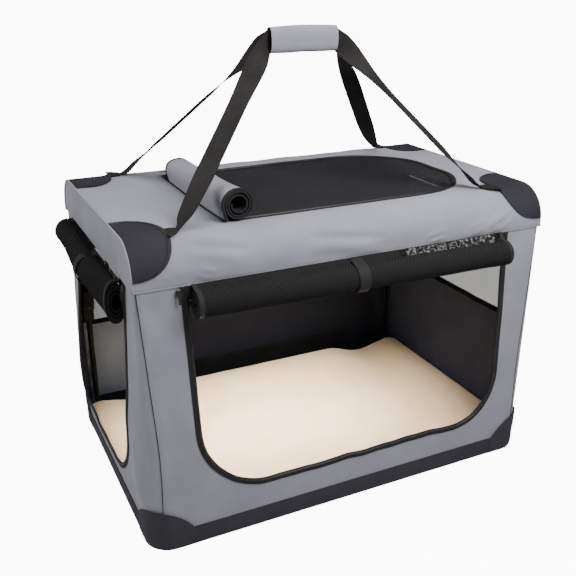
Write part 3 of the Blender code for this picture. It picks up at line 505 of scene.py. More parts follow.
marks = [CORNER_REACH * k / CORNER_STEPS for k in range(-CORNER_STEPS, CORNER_STEPS + 1)]
for corner, corner_name in enumerate(CORNER_NAMES):
    def corner_surface(distance, v, out, corner=corner):
        """The patch's face: v climbs from 0 at its foot to 1 at its curved edge."""
        z = SKIRT_FOOT + (corner_head(distance) - SKIRT_FOOT) * v
        side = SIDES[corner] if distance < 0 else SIDES[(corner + 1) % 4]
        reach = side_half(side, z)
        lift = CORNER_CLOTH + 0.0002 + CORNER_LIFT * smooth((z - SKIRT_HEAD) / 0.012) * smooth(v / 0.3)
        u = reach + distance if distance < 0 else distance - reach
        return side_point(side, u, z, out + skirt_tuck(z) + lift)

    rows = [[(d, v) for d in marks] for v in (0, 0.03, 0.08, 0.15, 0.3, 0.45, 0.6, 0.75, 0.88, 0.97, 1.0)]
    name = "skirt_patch_" + corner_name
    patch = sewn_sheet(name, rows, corner_surface, CORNER_CLOTH, [dark_oxford])
    for mark in patch.data.uv_layers[0].data:
        mark.uv.y *= SKIRT_HEAD + CORNER_RISE
    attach(patch, "root")
    seam = [(d, 0.93) for d in marks]
    row = stitch_row(name + "_seam", path_on(corner_surface, seam))
    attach(row, "root")
    cut = sum(corner_head(d) - SKIRT_FOOT for d in marks) * CORNER_REACH / CORNER_STEPS
seam = [(u, SKIRT_HEAD - SKIRT_SEAM) for u in skirt_marks + [4.0 - 1e-6]]
row = stitch_row("skirt_seam", path_on(skirt_surface, seam))
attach(row, "root")

# Mat
# A pad with a cream short-pile fleece cover lies loose on the base panel and over the bars at its ends.
# Its pile is thick enough to hide the cover's edge seam, and the pad is pressed into soft dips.

MAT_HALF = (0.5255, 0.295)
MAT_FOOT = 0.0064
MAT_THICKNESS = 0.024
MAT_END_FOOT = 0.0487
MAT_END_THICKNESS = 0.0135
MAT_CLIMB = 0.33
MAT_END_BAR = 0.468
MAT_BACK_RISE = 0.042
MAT_BACK_RISE_START = 0.10
MAT_BACK_RISE_END = 0.42
MAT_CORNER = 0.024
MAT_EDGE = 0.013
MAT_WAIST = 0.42


def rounded_place(s, t, half, radius):
    """A point of a rounded rectangle, from a square's s and t in -1 to 1."""
    x, y = s * half[0], t * half[1]
    dx, dy = abs(x) - (half[0] - radius), abs(y) - (half[1] - radius)
    if dx > 0 and dy > 0:
        pull = max(dx, dy) / math.hypot(dx, dy)
        x = math.copysign(half[0] - radius + dx * pull, x)
        y = math.copysign(half[1] - radius + dy * pull, y)
    return x, y


def edge_marks(count, tight):
    """Marks from -1 to 1, closer together towards the ends."""
    marks = [2 * k / count - 1 for k in range(count + 1)]
    return [m * (1 - tight) + tight * math.sin(m * math.pi / 2) for m in marks]


def mat_surface(s, t, out):
    """The pad's upper face for out 0, and its lower face below. Both climb at the ends, over the bars there.

    Its back edge is bunched up against the back wall between the ends.
    """
    x, y = rounded_place(s, t, MAT_HALF, MAT_CORNER)
    under = MAT_FOOT + (MAT_END_FOOT - MAT_FOOT) * smooth((abs(x) - MAT_END_BAR) / 0.0185)
    climb = smooth((abs(x) - MAT_CLIMB) / 0.165)
    top = MAT_FOOT + MAT_THICKNESS + (MAT_END_FOOT + MAT_END_THICKNESS - MAT_FOOT - MAT_THICKNESS) * climb
    top += MAT_BACK_RISE * smooth((y - MAT_BACK_RISE_START) / 0.14) * smooth((MAT_BACK_RISE_END - abs(x)) / 0.16)
    rim = min((1 - abs(s)) * MAT_HALF[0], (1 - abs(t)) * MAT_HALF[1])
    crown = math.sqrt(max(0.0, 1 - (1 - min(1.0, rim / MAT_EDGE)) ** 2))
    if out < 0:
        return Vector((x, y, under + (top - under) * MAT_WAIST * (1 - crown)))
    z = under + (top - under) * (MAT_WAIST + (1 - MAT_WAIST) * crown)
    if rim > 0.001:
        place = Vector((x, y, 0))
        dips = noise.noise(place * 5.5 + Vector((3, 1, 7))) * 0.0034 + noise.noise(place * 16) * 0.0018
        tufts = noise.noise(place * 95) * 0.0011 + noise.noise(place * 180) * 0.0006
        z += (dips * (1 - 0.6 * climb) + tufts) * smooth(rim / 0.03)
    return Vector((x, y, z))


fleece, tree, shader = new_finish("fleece", (0.90, 0.83, 0.73), 0.95)
place = add_node(tree, "TexCoord").outputs["Object"]
tufts = add_node(tree, "TexNoise", {"Vector": place, "Scale": 160.0, "Detail": 6.0, "Roughness": 0.7}).outputs["Fac"]
lie = add_node(tree, "TexNoise", {"Vector": place, "Scale": 11.0, "Detail": 4.0, "Distortion": 0.8}).outputs["Fac"]
mixed = add_node(tree, "Math", {0: tufts, 1: 0.5, 2: ramp(tree, lie, 0.3, 0.7, 0.0, 0.5)}, operation="MULTIPLY_ADD")
# The fleece is lighter where its tufts stand up and darker between them, a painted shade, and it also drifts in tone at
# random.
tree.links.new(tint(tree, mixed.outputs[0], (0.86, 0.57, 0.28), (0.97, 0.71, 0.41)), shader.inputs["Base Color"])
shader.inputs["Sheen Weight"].default_value = 0.45
shader.inputs["Sheen Roughness"].default_value = 0.6
set_gloss(fleece, 0.1)
add_bump(tree, shader, tufts, 0.0016)
mat_rows = [[(s, t) for s in edge_marks(150, 0.55)] for t in edge_marks(96, 0.55)]
mat = sewn_sheet("fleece_mat", mat_rows, mat_surface, 1.0, [fleece])
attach(mat, "root")
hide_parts("floor_mat")

# Walls
# Four upright panels of grey woven polyester over thin foam, lined with charcoal cloth, sewn to each
# other at the middle of each rounded corner. The front and left ones are cut out for the doors.

WALL_FOOT = 0.0064
WALL_HEAD = 0.6416
WALL_INSET = 0.0024
WALL_CLOTH = 0.0030
SEAM_GAP = 0.00003
# A door's half width and sill, then for its two lower corners the radius, and how far in and up the cloth is drawn.
FRONT_DOOR = (0.4145, 0.1175, (0.152, 0.127), (0.033, -0.003), (0.006, 0.007))
LEFT_DOOR = (0.251, 0.086, (0.125, 0.185), (0.0, 0.026), (-0.010, 0.012))
RIGHT_WINDOW = (0.2555, 0.365, (0.030, 0.030), (0.0, 0.0), (0.0, 0.0))
# The back window's half width, sill, head and corner radius.
BACK_WINDOW = (0.498, 0.300, 0.520, 0.012)
LEFT_BULGE = 0.0125


def crease(side, u, z):
    """How far the cloth stands off its flat line: long soft creases that fade out at the sewn edges.

    The left wall also bulges out, where the rolled door weighs on it.
    """
    edge = side_half(side, z) - abs(u)
    held = smooth(edge / 0.045) * smooth((z - 0.045) / 0.08) * smooth((WALL_HEAD - z) / 0.05)
    seed = 5.0 * SIDES.index(side)
    tall = noise.noise(Vector((u * 19, z * 3.0, seed)))
    broad = noise.noise(Vector((u * 6, z * 4.5, seed + 2.5)))
    slant = noise.noise(Vector((u * 22 + z * 9, z * 8 - u * 5, seed + 7.5)))
    bulge = 0.0
    if side == "left":
        bulge = LEFT_BULGE * smooth((z - 0.045) / 0.11) * smooth((0.60 - z) / 0.40) * smooth(edge / 0.05)
    return bulge + held * (0.0032 * tall + 0.0044 * broad + 0.0030 * slant)


def wall_surface(side, lift=0.0):
    """A wall's outer face, as a surface for its cloth and for what is sewn on it."""
    def surface(u, z, out):
        return side_point(side, u, z, crease(side, u, z) - WALL_INSET + lift + out)
    return surface


def rounded_sides(corners, radii, around=False):
    """An outline's sides, each from the middle of one rounded corner to the middle of the next."""
    steps = 12
    arcs = []
    for i, corner in enumerate(corners):
        corner = Vector(corner)
        if not around and i in (0, len(corners) - 1):
            arcs.append([corner])
            continue
        back = (Vector(corners[i - 1]) - corner).normalized() * radii[i]
        ahead = (Vector(corners[(i + 1) % len(corners)]) - corner).normalized() * radii[i]
        turn = [math.pi / 2 * k / steps for k in range(steps + 1)]
        arcs.append([corner + (back + ahead) - ahead * math.cos(a) - back * math.sin(a) for a in turn])
    sides = []
    for i in range(len(corners) if around else len(corners) - 1):
        near, far = arcs[i], arcs[(i + 1) % len(corners)]
        sides.append(near[len(near) // 2:] + far[:len(far) // 2 + 1])
    return sides


def even_marks(line, count):
    """So many even steps along a line of marks."""
    lengths = [0.0]
    for a, b in zip(line, line[1:]):
        lengths.append(lengths[-1] + (b - a).length)
    marks = []
    k = 0
    for i in range(count + 1):
        due = lengths[-1] * i / count
        while k < len(line) - 2 and lengths[k + 1] < due:
            k += 1
        step = max(1e-9, lengths[k + 1] - lengths[k])
        marks.append(line[k].lerp(line[k + 1], min(1.0, (due - lengths[k]) / step)))
    return marks


def outline_marks(sides, counts, around=False):
    """Marks along an outline, so many even steps to each of its sides."""
    marks = []
    for side, count in zip(sides, counts):
        marks += even_marks(side, count)[:-1]
    return marks if around else marks + [sides[-1][-1]]


def ring_rows(near_sides, far_sides, counts, layers, around=False):
    """Rows of marks from an opening's edge out to the cloth's own edge."""
    near, far = (outline_marks(sides, counts, around) for sides in (near_sides, far_sides))
    return [[a.lerp(b, j / layers) for a, b in zip(near, far)] for j in range(layers + 1)]


def cut_area(rows, around=False):
    """The flat area of a cut, from its rows of marks."""
    total = 0.0
    for low, high in zip(rows, rows[1:]):
        count = len(low)
        for i in range(count if around else count - 1):
            k = (i + 1) % count
            a, b, c, d = (Vector((p[0], p[1])) for p in (low[i], low[k], high[k], high[i]))
            total += abs((c - a).x * (d - b).y - (c - a).y * (d - b).x) / 2
    return total


def door_edge(door, grow=0.0):
    """A door's edge in flat marks: open at its head, round at its foot, where the cloth is drawn in and up a little."""
    half, sill, radii, drawn_in, drawn_up = door
    corners = [(-half - grow, WALL_HEAD), (-half - grow, sill - grow + drawn_up[0]),
               (half + grow, sill - grow + drawn_up[1]), (half + grow, WALL_HEAD)]
    sides = rounded_sides(corners, [0, radii[0] + grow, radii[1] + grow, 0])
    sides = [[mark.copy() for mark in side] for side in sides]
    for k, inward in ((0, 1), (1, 1), (1, -1), (2, -1)):
        for mark in sides[k]:
            if mark.x * inward < 0:
                lowered = (WALL_HEAD - mark.y) / (WALL_HEAD - sill)
                mark.x += inward * drawn_in[0 if inward > 0 else 1] * lowered ** 2
    return sides


def window_edge(window, grow=0.0):
    """A closed window's edge in flat marks."""
    half, sill, head, radius = window
    half, sill, head, radius = half + grow, sill - grow, head + grow, radius + grow
    return rounded_sides([(-half, sill), (half, sill), (half, head), (-half, head)], [radius] * 4, True)


def wall_corners(side):
    """A wall's own corners in flat marks: left foot, right foot, right head, left head."""
    low, high = side_half(side, WALL_FOOT) - SEAM_GAP, side_half(side, WALL_HEAD) - SEAM_GAP
    return [Vector(c) for c in ((-low, WALL_FOOT), (low, WALL_FOOT), (high, WALL_HEAD), (-high, WALL_HEAD))]


def fold_down(piece, body="root"):
    """Puts a piece of the cover on a body of the frame, with a mesh of its own."""
    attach(piece, body)
    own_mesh(piece)


grey_oxford = woven_finish("grey_oxford", (0.216, 0.218, 0.250), (0.264, 0.266, 0.305), 0.78, 1400.0, 0.00014, 0.08)
charcoal_lining = woven_finish("charcoal_lining", (0.0245, 0.028, 0.048), (0.039, 0.0435, 0.071), 0.82, 1800.0, 0.0001)
back_lining, tree, shader = new_finish("back_lining", (0.03, 0.03, 0.03), 0.85)
place = add_node(tree, "TexCoord").outputs["UV"]
threads = place_effect(tree, weave, Vector=place, Threads_per_metre=1800.0)
parts = add_node(tree, "SeparateXYZ", {0: place})
# Near its left end and below the window's sill, the back wall's lining is painted light grey. This is a painted pool of
# the light that comes in through the left door; everywhere else the lining is dark.
past_middle = ramp(tree, parts.outputs["X"], 0.365, 0.372)
below = ramp(tree, parts.outputs["Y"], 0.296, 0.300, 1.0, 0.0)
painted_light_mask = add_node(tree, "Math", {0: past_middle, 1: below}, operation="MULTIPLY").outputs[0]
middle_cloth = tint(tree, threads["Drift"], (0.0160, 0.0190, 0.0330), (0.0260, 0.0300, 0.0500))
painted_lit_cloth = tint(tree, threads["Drift"], (0.185, 0.225, 0.315), (0.215, 0.262, 0.365))
tree.links.new(blend(tree, painted_light_mask, middle_cloth, painted_lit_cloth), shader.inputs["Base Color"])
set_gloss(back_lining, 0.1)
add_bump(tree, shader, threads["Height"], 0.0001)
black_binding = woven_finish("black_binding", (0.010, 0.010, 0.011), (0.020, 0.020, 0.021), 0.7, 1600.0, 0.0001)
# A darker copy of the black binding for the bindings' inner faces, a painted shade: it keeps them black against the
# light the mat throws up on them.
inner_binding = woven_finish("inner_binding", (0.003, 0.003, 0.004), (0.006, 0.006, 0.008), 0.8, 1600.0, 0.0001)
set_gloss(inner_binding, 0.05)
wall_cloth = [grey_oxford, charcoal_lining, black_binding]
walls = {}
wall_trim = {side: [] for side in SIDES}
for side, edge, counts, layers in (
        ("front", door_edge(FRONT_DOOR), (44, 70, 44), 13), ("left", door_edge(LEFT_DOOR), (44, 44, 44), 11),
        ("right", door_edge(RIGHT_WINDOW), (26, 44, 26), 20)):
    a, b, c, d = wall_corners(side)
    rows = ring_rows(edge, [[d, a], [a, b], [b, c]], counts, layers)
    walls[side] = (sewn_sheet(side + "_wall_cloth", rows, wall_surface(side), WALL_CLOTH, wall_cloth), rows, False)
a, b, c, d = wall_corners("back")
rows = ring_rows(window_edge(BACK_WINDOW), [[a, b], [b, c], [c, d], [d, a]], (80, 20, 80, 20), 16, True)
back_cloth = [grey_oxford, back_lining, black_binding]
walls["back"] = (sewn_sheet("back_wall_cloth", rows, wall_surface("back"), WALL_CLOTH, back_cloth, True), rows, True)
for side in SIDES:
    fold_down(walls[side][0])
    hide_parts(side + "_wall")


def round_cord(name, points, radius, finish, sides=8):
    """A thin round cord along points: piping, a bound edge or a groove's shade."""
    count = len(points)
    places, faces = [], []
    up = None
    for i, point in enumerate(points):
        ahead = (points[min(count - 1, i + 1)] - points[max(0, i - 1)]).normalized()
        if up is None:
            up = (Vector((0, 0, 1)) if abs(ahead.z) < 0.9 else Vector((1, 0, 0))).cross(ahead)
        else:
            up = up - ahead * up.dot(ahead)
        up = up.normalized()
        across = ahead.cross(up)
        for k in range(sides):
            angle = 2 * math.pi * k / sides
            places.append(point + (up * math.cos(angle) + across * math.sin(angle)) * radius)
    for i in range(count - 1):
        for k in range(sides):
            n = (k + 1) % sides
            faces.append((i * sides + k, i * sides + n, (i + 1) * sides + n, (i + 1) * sides + k))
    faces += [tuple(range(sides - 1, -1, -1)), tuple(range((count - 1) * sides, count * sides))]
    mesh = new_mesh(name, places, faces)
    shape = bmesh.new()
    shape.from_mesh(mesh)
    bmesh.ops.recalc_face_normals(shape, faces=shape.faces)
    shape.to_mesh(mesh)
    shape.free()
    mesh.shade_smooth()
    return show(name, mesh, finish)


SEAM_FOOT = 0.052
SEAM_HEAD = WALL_HEAD - 0.002
SEAM_CORD = 0.0009
for name in CORNER_NAMES:
    side = name.split("_")[0]
    sign = 1 if name in ("front_right", "back_left") else -1
    line = []
    for k in range(41):
        z = SEAM_FOOT + (SEAM_HEAD - SEAM_FOOT) * k / 40
        inward = (0.38 + 0.40 * smooth(z / 0.30)) * corner_radius(z) * math.pi / 4
        u = sign * (side_half(side, z) - inward)
        line.append(side_point(side, u, z, crease(side, u, z) + 0.0003 - WALL_INSET))
    cord = round_cord("corner_seam_" + name, line, SEAM_CORD, black_binding, 6)
    fold_down(cord)
    wall_trim[side].append(cord)

FOOT_TAPE_FOOT = 0.015
FOOT_TAPE_WIDTH = 0.033
FOOT_TAPE_CLOTH = 0.0012
BACK_TAPE_EXTRA = 0.052
for side in SIDES:
    reach = straight_half(side, 0.03) + 0.02
    rows = []
    for k in range(4):
        row = []
        for i in range(81):
            u = reach * (2 * i / 80 - 1)
            width = FOOT_TAPE_WIDTH
            if side == "back":
                width += BACK_TAPE_EXTRA * smooth((0.385 - abs(u)) / 0.02)
            row.append((u, FOOT_TAPE_FOOT + width * k / 3))
        rows.append(row)
    inside_wall = wall_surface(side, -WALL_CLOTH - 0.0006)
    strip = sewn_sheet(side + "_foot_tape", rows, inside_wall, FOOT_TAPE_CLOTH, [black_binding])
    fold_down(strip)
    wall_trim[side].append(strip)

# Door zips and window bindings
# Black coil zips: a tape sewn round each door's edge with its row of coils. Each window's edge is
# bound inside and out with black tape.

TAPE_WIDTH = 0.013
TAPE_CLOTH = 0.0012
TAPE_LAP = 0.0006
TAPE_LIFT = 0.0003 + TAPE_CLOTH
COIL_MARK = 0.0018
COIL_PITCH = 0.0024
TAPE_SEAM_MARK = 0.0105
RIM_CORD = 0.0021
TAB_OUT, TAB_IN, TAB_DROP = 0.010, 0.028, 0.031
WINDOW_BINDING = 0.012

zip_coil = grained_finish("zip_coil", (0.012, 0.012, 0.012), (0.028, 0.028, 0.029), 0.38, 0.0, 1800.0, 0.00004)


def coil_row(name, path):
    """A zip's row of coils: small flat-topped bars across a path of (point, outward way) pairs."""
    points, faces = [], []
    for middle, ahead, outward in places_along(path, COIL_PITCH):
        across = ahead.cross(outward).normalized()
        base = len(points)
        for reach, height, half in ((-0.0021, 0.0, 0.0005), (-0.0012, 0.0013, 0.0007), (0.0012, 0.0013, 0.0007),
                                    (0.0021, 0.0, 0.0005)):
            points.append(middle + across * reach + outward * height - ahead * half)
            points.append(middle + across * reach + outward * height + ahead * half)
        for k in range(3):
            n = base + 2 * k
            faces.append((n, n + 1, n + 3, n + 2))
        faces += [(base, base + 2, base + 4, base + 6), (base + 7, base + 5, base + 3, base + 1)]
        faces.append((base + 6, base + 7, base + 1, base))
    mesh = new_mesh(name, points, faces)
    mesh.shade_smooth()
    mesh.set_sharp_from_angle(angle=math.radians(40))
    return show(name, mesh, zip_coil)


for side, door, counts in (("front", FRONT_DOOR, (70, 110, 70)), ("left", LEFT_DOOR, (70, 80, 70))):
    rows = ring_rows(door_edge(door, -TAPE_LAP), door_edge(door, TAPE_WIDTH), counts, 4)
    tape = sewn_sheet(side + "_zip_tape", rows, wall_surface(side, TAPE_LIFT), TAPE_CLOTH, [black_binding])
    fold_down(tape)
    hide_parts(side + "_door_tape")
    lines = [path_on(wall_surface(side), outline_marks(door_edge(door, grow), counts), lift)
             for grow, lift in ((COIL_MARK, 0.0002 + TAPE_CLOTH), (TAPE_SEAM_MARK, 0.0004 + TAPE_CLOTH),
                                (-0.0004, -WALL_CLOTH / 2))]
    coils = coil_row(side + "_zip_coils", lines[0])
    stitches = stitch_row(side + "_tape_seam", lines[1])
    rim = round_cord(side + "_door_binding", [point for point, _ in lines[2]], RIM_CORD, black_binding)
    for piece in (coils, stitches, rim):
        fold_down(piece)
    wall_trim[side] += [tape, coils, stitches, rim]
    half = door[0]
    for end, start, stop in (("back", -half - TAB_OUT, -half + TAB_IN), ("front", half - TAB_IN, half + TAB_OUT)):
        rows = [[(start + (stop - start) * i / 4, WALL_HEAD - 0.0014 - TAB_DROP * j / 4) for i in range(5)]
                for j in range(5)]
        on_tape = wall_surface(side, 0.0004 + TAPE_CLOTH)
        tab = sewn_sheet(f"{side}_tape_end_{end}", rows, on_tape, TAPE_CLOTH, [black_binding])
        fold_down(tab)
        wall_trim[side].append(tab)
for side, edge_of, window, counts, around in (("back", window_edge, BACK_WINDOW, (110, 26, 110, 26), True),
                                              ("right", door_edge, RIGHT_WINDOW, (34, 60, 34), False)):
    rows = ring_rows(edge_of(window, -0.001), edge_of(window, WINDOW_BINDING), counts, 3, around)
    # The inner faces take the binding's painted-shade copy.
    for face, lift, cloth in (("outer", TAPE_LIFT, black_binding), ("inner", -WALL_CLOTH - 0.0003, inner_binding)):
        name = f"{side}_window_binding_{face}"
        strip = sewn_sheet(name, rows, wall_surface(side, lift), TAPE_CLOTH, [cloth], around)
        fold_down(strip)
        wall_trim[side].append(strip)
for side in SIDES:
    cloth, rows, around = walls[side]
    width = 2 * side_half(side, 0.3)
    area = min(cut_area(rows, around), width * (WALL_HEAD - WALL_FOOT))
    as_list(wall_trim[side])

# Window panes
# See-through panes of knitted black mesh, sewn in behind the openings of the back and right walls.
# The right one goes on in a small pane above the seam, in the end of the roof.

PANE_CLOTH = 0.0006
PANE_INSET = 0.0012

open_mesh, inside, outside = new_effect(
    "open_mesh", [("Vector", "Vector", None), ("Holes per metre", "Float", 420.0), ("Hole size", "Float", 0.42)],
    [("Cover", "Float"), ("Height", "Float")])
ROW_STRETCH = math.sqrt(3)
rows_closer, rows_apart = (1.0, 1 / ROW_STRETCH, 0.0), (1.0, ROW_STRETCH, 0.0)
squeezed = add_node(open_mesh, "VectorMath", {0: inside["Vector"], 1: rows_closer}, operation="MULTIPLY")
scaled = {0: squeezed.outputs[0], "Scale": inside["Holes per metre"]}
cells = add_node(open_mesh, "VectorMath", scaled, operation="SCALE")
reaches = []
for shift in ((0.5, 0.5, 0.0), (0.0, 0.0, 0.0)):
    moved = add_node(open_mesh, "VectorMath", {0: cells.outputs[0], 1: shift}, operation="ADD")
    cell = add_node(open_mesh, "VectorMath", {0: moved.outputs[0]}, operation="FRACTION")
    centred = add_node(open_mesh, "VectorMath", {0: cell.outputs[0], 1: (0.5, 0.5, 0.0)}, operation="SUBTRACT")
    spread = add_node(open_mesh, "VectorMath", {0: centred.outputs[0], 1: rows_apart}, operation="MULTIPLY")
    reaches.append(add_node(open_mesh, "VectorMath", {0: spread.outputs[0]}, operation="LENGTH").outputs["Value"])
near = add_node(open_mesh, "Math", {0: reaches[0], 1: reaches[1]}, operation="MINIMUM").outputs[0]
past = add_node(open_mesh, "Math", {0: near, 1: inside["Hole size"]}, operation="SUBTRACT").outputs[0]
open_mesh.links.new(ramp(open_mesh, past, -0.03, 0.03), outside["Cover"])
open_mesh.links.new(ramp(open_mesh, past, 0.0, 0.12), outside["Height"])


def mesh_finish(name, dark, light, holes, hole_size, openness, open_beyond=None, single=None):
    """A knitted mesh: threads round small round holes, in staggered rows. Its openness is how clear a hole is.

    Where open_beyond is given, the mesh is lined with cloth up to that far along it. Where single is, it is one
    layer, and easier to see through in places, up to its first mark across it and past its second along it.
    """
    finish, tree, shader = new_finish(name, light, 0.6)
    set_gloss(finish, 0.15)
    place = add_node(tree, "TexCoord").outputs["UV"]
    net = place_effect(tree, open_mesh, Vector=place, Holes_per_metre=holes, Hole_size=hole_size)
    hole = add_node(tree, "Math", {0: 1.0, 1: net["Cover"]}, operation="SUBTRACT").outputs[0]
    if open_beyond:
        across = add_node(tree, "SeparateXYZ", {0: place}).outputs["X"]
        unlined = ramp(tree, across, open_beyond, open_beyond + 0.004, 0.1, 1.0)
        hole = add_node(tree, "Math", {0: hole, 1: unlined}, operation="MULTIPLY").outputs[0]
    cover = add_node(tree, "Math", {0: hole, 1: -openness, 2: 1.0}, operation="MULTIPLY_ADD").outputs[0]
    if single:
        parts = add_node(tree, "SeparateXYZ", {0: place})
        cloudy = add_node(tree, "TexNoise", {"Vector": place, "Scale": 150.0, "Detail": 2.0}).outputs["Fac"]
        thin = ramp(tree, cloudy, 0.42, 0.58, 0.15, 1.0)
        rolled_up = ramp(tree, parts.outputs["Y"], single[0] - 0.002, single[0])
        dark_end = ramp(tree, parts.outputs["X"], single[1], single[1] + 0.004, 1.0, 0.0)
        doubled = add_node(tree, "Math", {0: rolled_up, 1: dark_end}, operation="MAXIMUM").outputs[0]
        layers = add_node(tree, "Mix", {0: doubled, 2: thin, 3: 1.0}).outputs[0]
        cover = add_node(tree, "Math", {0: cover, 1: layers}, operation="MULTIPLY").outputs[0]
    tree.links.new(cover, shader.inputs["Alpha"])
    # The threads are painted darker towards the holes' edges: painted shade.
    tree.links.new(tint(tree, net["Height"], dark, light), shader.inputs["Base Color"])
    add_bump(tree, shader, net["Height"], 0.0004)
    return finish


window_net = mesh_finish("window_net", (0.05, 0.05, 0.05), (0.14, 0.14, 0.138), 420.0, 0.455, 0.24)
back_net = mesh_finish("back_net", (0.05, 0.05, 0.05), (0.15, 0.15, 0.15), 420.0, 0.455, 0.17, 0.39)


def rounding(u, half, radius):
    """How far a rounded corner cuts in from a straight edge, near its end."""
    short = max(0.0, radius - (half - abs(u)))
    return radius - math.sqrt(max(0.0, radius * radius - short * short))


def pane_rows(half, sill, head, radius, layers, round_head):
    """Rows of marks that fill a window: round at its foot, and at its head too or not."""
    rows = []
    for j in range(layers + 1):
        row = []
        for m in edge_marks(60, 0.6):
            cut = rounding(m * half, half, radius)
            row.append((m * half, sill + cut + (head - sill - (2 if round_head else 1) * cut) * j / layers))
        rows.append(row)
    return rows


half, sill, head, radius = BACK_WINDOW
rows = pane_rows(half, sill, head, radius, 12, True)
pane = sewn_sheet("back_window_pane", rows, wall_surface("back", -PANE_INSET), PANE_CLOTH, [back_net])
fold_down(pane)
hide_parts("back_window_mesh")
cut_area(rows)
half, sill, (radius, _), _, _ = RIGHT_WINDOW
rows = pane_rows(half, sill, WALL_HEAD, radius, 14, False)
pane = sewn_sheet("right_window_pane", rows, wall_surface("right", -PANE_INSET), PANE_CLOTH, [window_net])
fold_down(pane)
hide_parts("right_window_mesh")
cut_area(rows)

# Roof
# One sheet of the same cloth over the top, rounded down at its front and back into two valances.
# It hangs a little between the frame's ends, and is cut out for the hatch. Two end valances close it.

EDGE_RADIUS = 0.077
HEM = 0.640
ROOF_CLOTH = 0.0020
# The hatch's left, right, front and back edges, and its corner radii at its hinge and at its free end.
HATCH = (-0.290, 0.408, -0.240, 0.206, 0.020, 0.185)
UPPER_PANE_HEAD = 0.690
UPPER_PANE_CORNER = 0.012
UPPER_BINDING = 0.010
PIPING_CORD = 0.0026
SHOULDER_HEIGHT = HEIGHT - EDGE_RADIUS
SHOULDER_Y = half_width(SHOULDER_HEIGHT) - EDGE_RADIUS
HEM_MARK = SHOULDER_Y + EDGE_RADIUS * math.pi / 2 + SHOULDER_HEIGHT - HEM
ROOF_HALF = half_length(HEIGHT)
ROOF_SAG = 0.005
DEEPEST_WAVE = 0.0024
# Each fold's two ends in flat marks, and its width.
FOLDS = (
    (-0.473, 0.350, -0.425, 0.385, 0.007), (-0.400, 0.315, -0.270, 0.343, 0.014),
    (-0.385, 0.372, -0.350, 0.388, 0.006), (0.440, 0.352, 0.366, 0.389, 0.008),
    (0.403, 0.350, 0.378, 0.379, 0.006), (0.468, 0.364, 0.420, 0.386, 0.006),
    (0.178, 0.389, 0.235, 0.376, 0.006), (0.308, 0.386, 0.348, 0.369, 0.006),
    (-0.120, 0.340, 0.060, 0.362, 0.016),
)


def fold_lift(x, v):
    """How far the valance's folds lift its cloth: each is a crease between two soft ridges, along a line."""
    lift = 0.0
    for x0, v0, x1, v1, width in FOLDS:
        along = Vector((x1 - x0, v1 - v0))
        place = Vector((x - x0, v - v0))
        share = min(1.0, max(0.0, place.dot(along) / along.length_squared))
        past = (place - along * share).length / width
        if past > 4:
            continue
        if 0 < share < 1:
            off = place.cross(along) / along.length / width
            fade = math.sin(math.pi * (0.12 + 0.76 * share))
        else:
            off = past
            fade = 0.37 * math.exp(-past * past)
        ridges = 0.60 * math.exp(-(abs(off) - 1.2) ** 2)
        lift += fade * min(width, 0.008) * (ridges - 0.24 * math.exp(-(off * 2.2) ** 2))
    return lift


def roof_crease(x, v):
    """How far the roof's cloth stands off its flat line: its sag, the valances' waves and the corners' pulls."""
    inner = smooth((ROOF_HALF - abs(x)) / 0.06)
    flat = smooth((SHOULDER_Y + 0.01 - abs(v)) / 0.10)
    sag = -ROOF_SAG * (1 - (x / ROOF_HALF) ** 2) * flat
    broad = 0.0030 * noise.noise(Vector((x * 5, v * 7, 3.3))) * flat
    hem = smooth((HEM_MARK - abs(v)) / 0.010)
    edge = smooth((abs(v) - SHOULDER_Y + 0.03) / 0.05)
    waves = 0.0022 * noise.noise(Vector((x * 4.2, v * 26, 8.1))) + 0.0022 * noise.noise(Vector((x * 13, v * 17, 1.7)))
    waves += fold_lift(x, abs(v))
    off_patch = smooth((0.440 - abs(x)) / 0.03)
    return inner * (sag + broad) + inner * hem * edge * max(-DEEPEST_WAVE, waves * (0.25 + 0.75 * off_patch))


def roof_surface(x, v, out=0.0):
    """A point of the roof. v runs across it, from the front hem over the middle at 0 to the back hem."""
    beyond = abs(v) - SHOULDER_Y
    angle = min(max(0.0, beyond) / EDGE_RADIUS, math.pi / 2)
    drop = max(0.0, beyond - EDGE_RADIUS * math.pi / 2)
    reach = EDGE_RADIUS + out + roof_crease(x, v)
    y = min(abs(v), SHOULDER_Y) + reach * math.sin(angle) + drop * SIDE_LEAN / HEIGHT
    z = SHOULDER_HEIGHT - drop + reach * math.cos(angle)
    return Vector((x * half_length(z) / ROOF_HALF, math.copysign(y, v), z))


def raised_roof(lift):
    """The roof's face raised by so much, for what is sewn on it."""
    def surface(x, v, out):
        return roof_surface(x, v, lift + out)
    return surface


def hatch_edge(grow=0.0):
    """The hatch's edge in flat marks: nearly square at its hinge side, well rounded at its free end."""
    left, right, front, back, small, large = HATCH
    corners = [(left - grow, front - grow), (right + grow, front - grow), (right + grow, back + grow),
               (left - grow, back + grow)]
    return rounded_sides(corners, [small + grow, large + grow, large + grow, small + grow], True)


corners = [Vector((sx * ROOF_HALF, sy * HEM_MARK)) for sx, sy in ((-1, -1), (1, -1), (1, 1), (-1, 1))]
rim = [[corners[k], corners[(k + 1) % 4]] for k in range(4)]
roof_rows = ring_rows(hatch_edge(), rim, (130, 90, 130, 90), 30, True)
roof_cloth = sewn_sheet("roof_cloth", roof_rows, roof_surface, ROOF_CLOTH, wall_cloth, True)
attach(roof_cloth, "top")
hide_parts("roof")
for face, sign in (("front", -1), ("back", 1)):
    marks = [(ROOF_HALF * (2 * k / 160 - 1) * 0.998, sign * (HEM_MARK - 0.006)) for k in range(161)]
    row = stitch_row(face + "_hem_seam", path_on(roof_surface, marks))
    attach(row, "top")


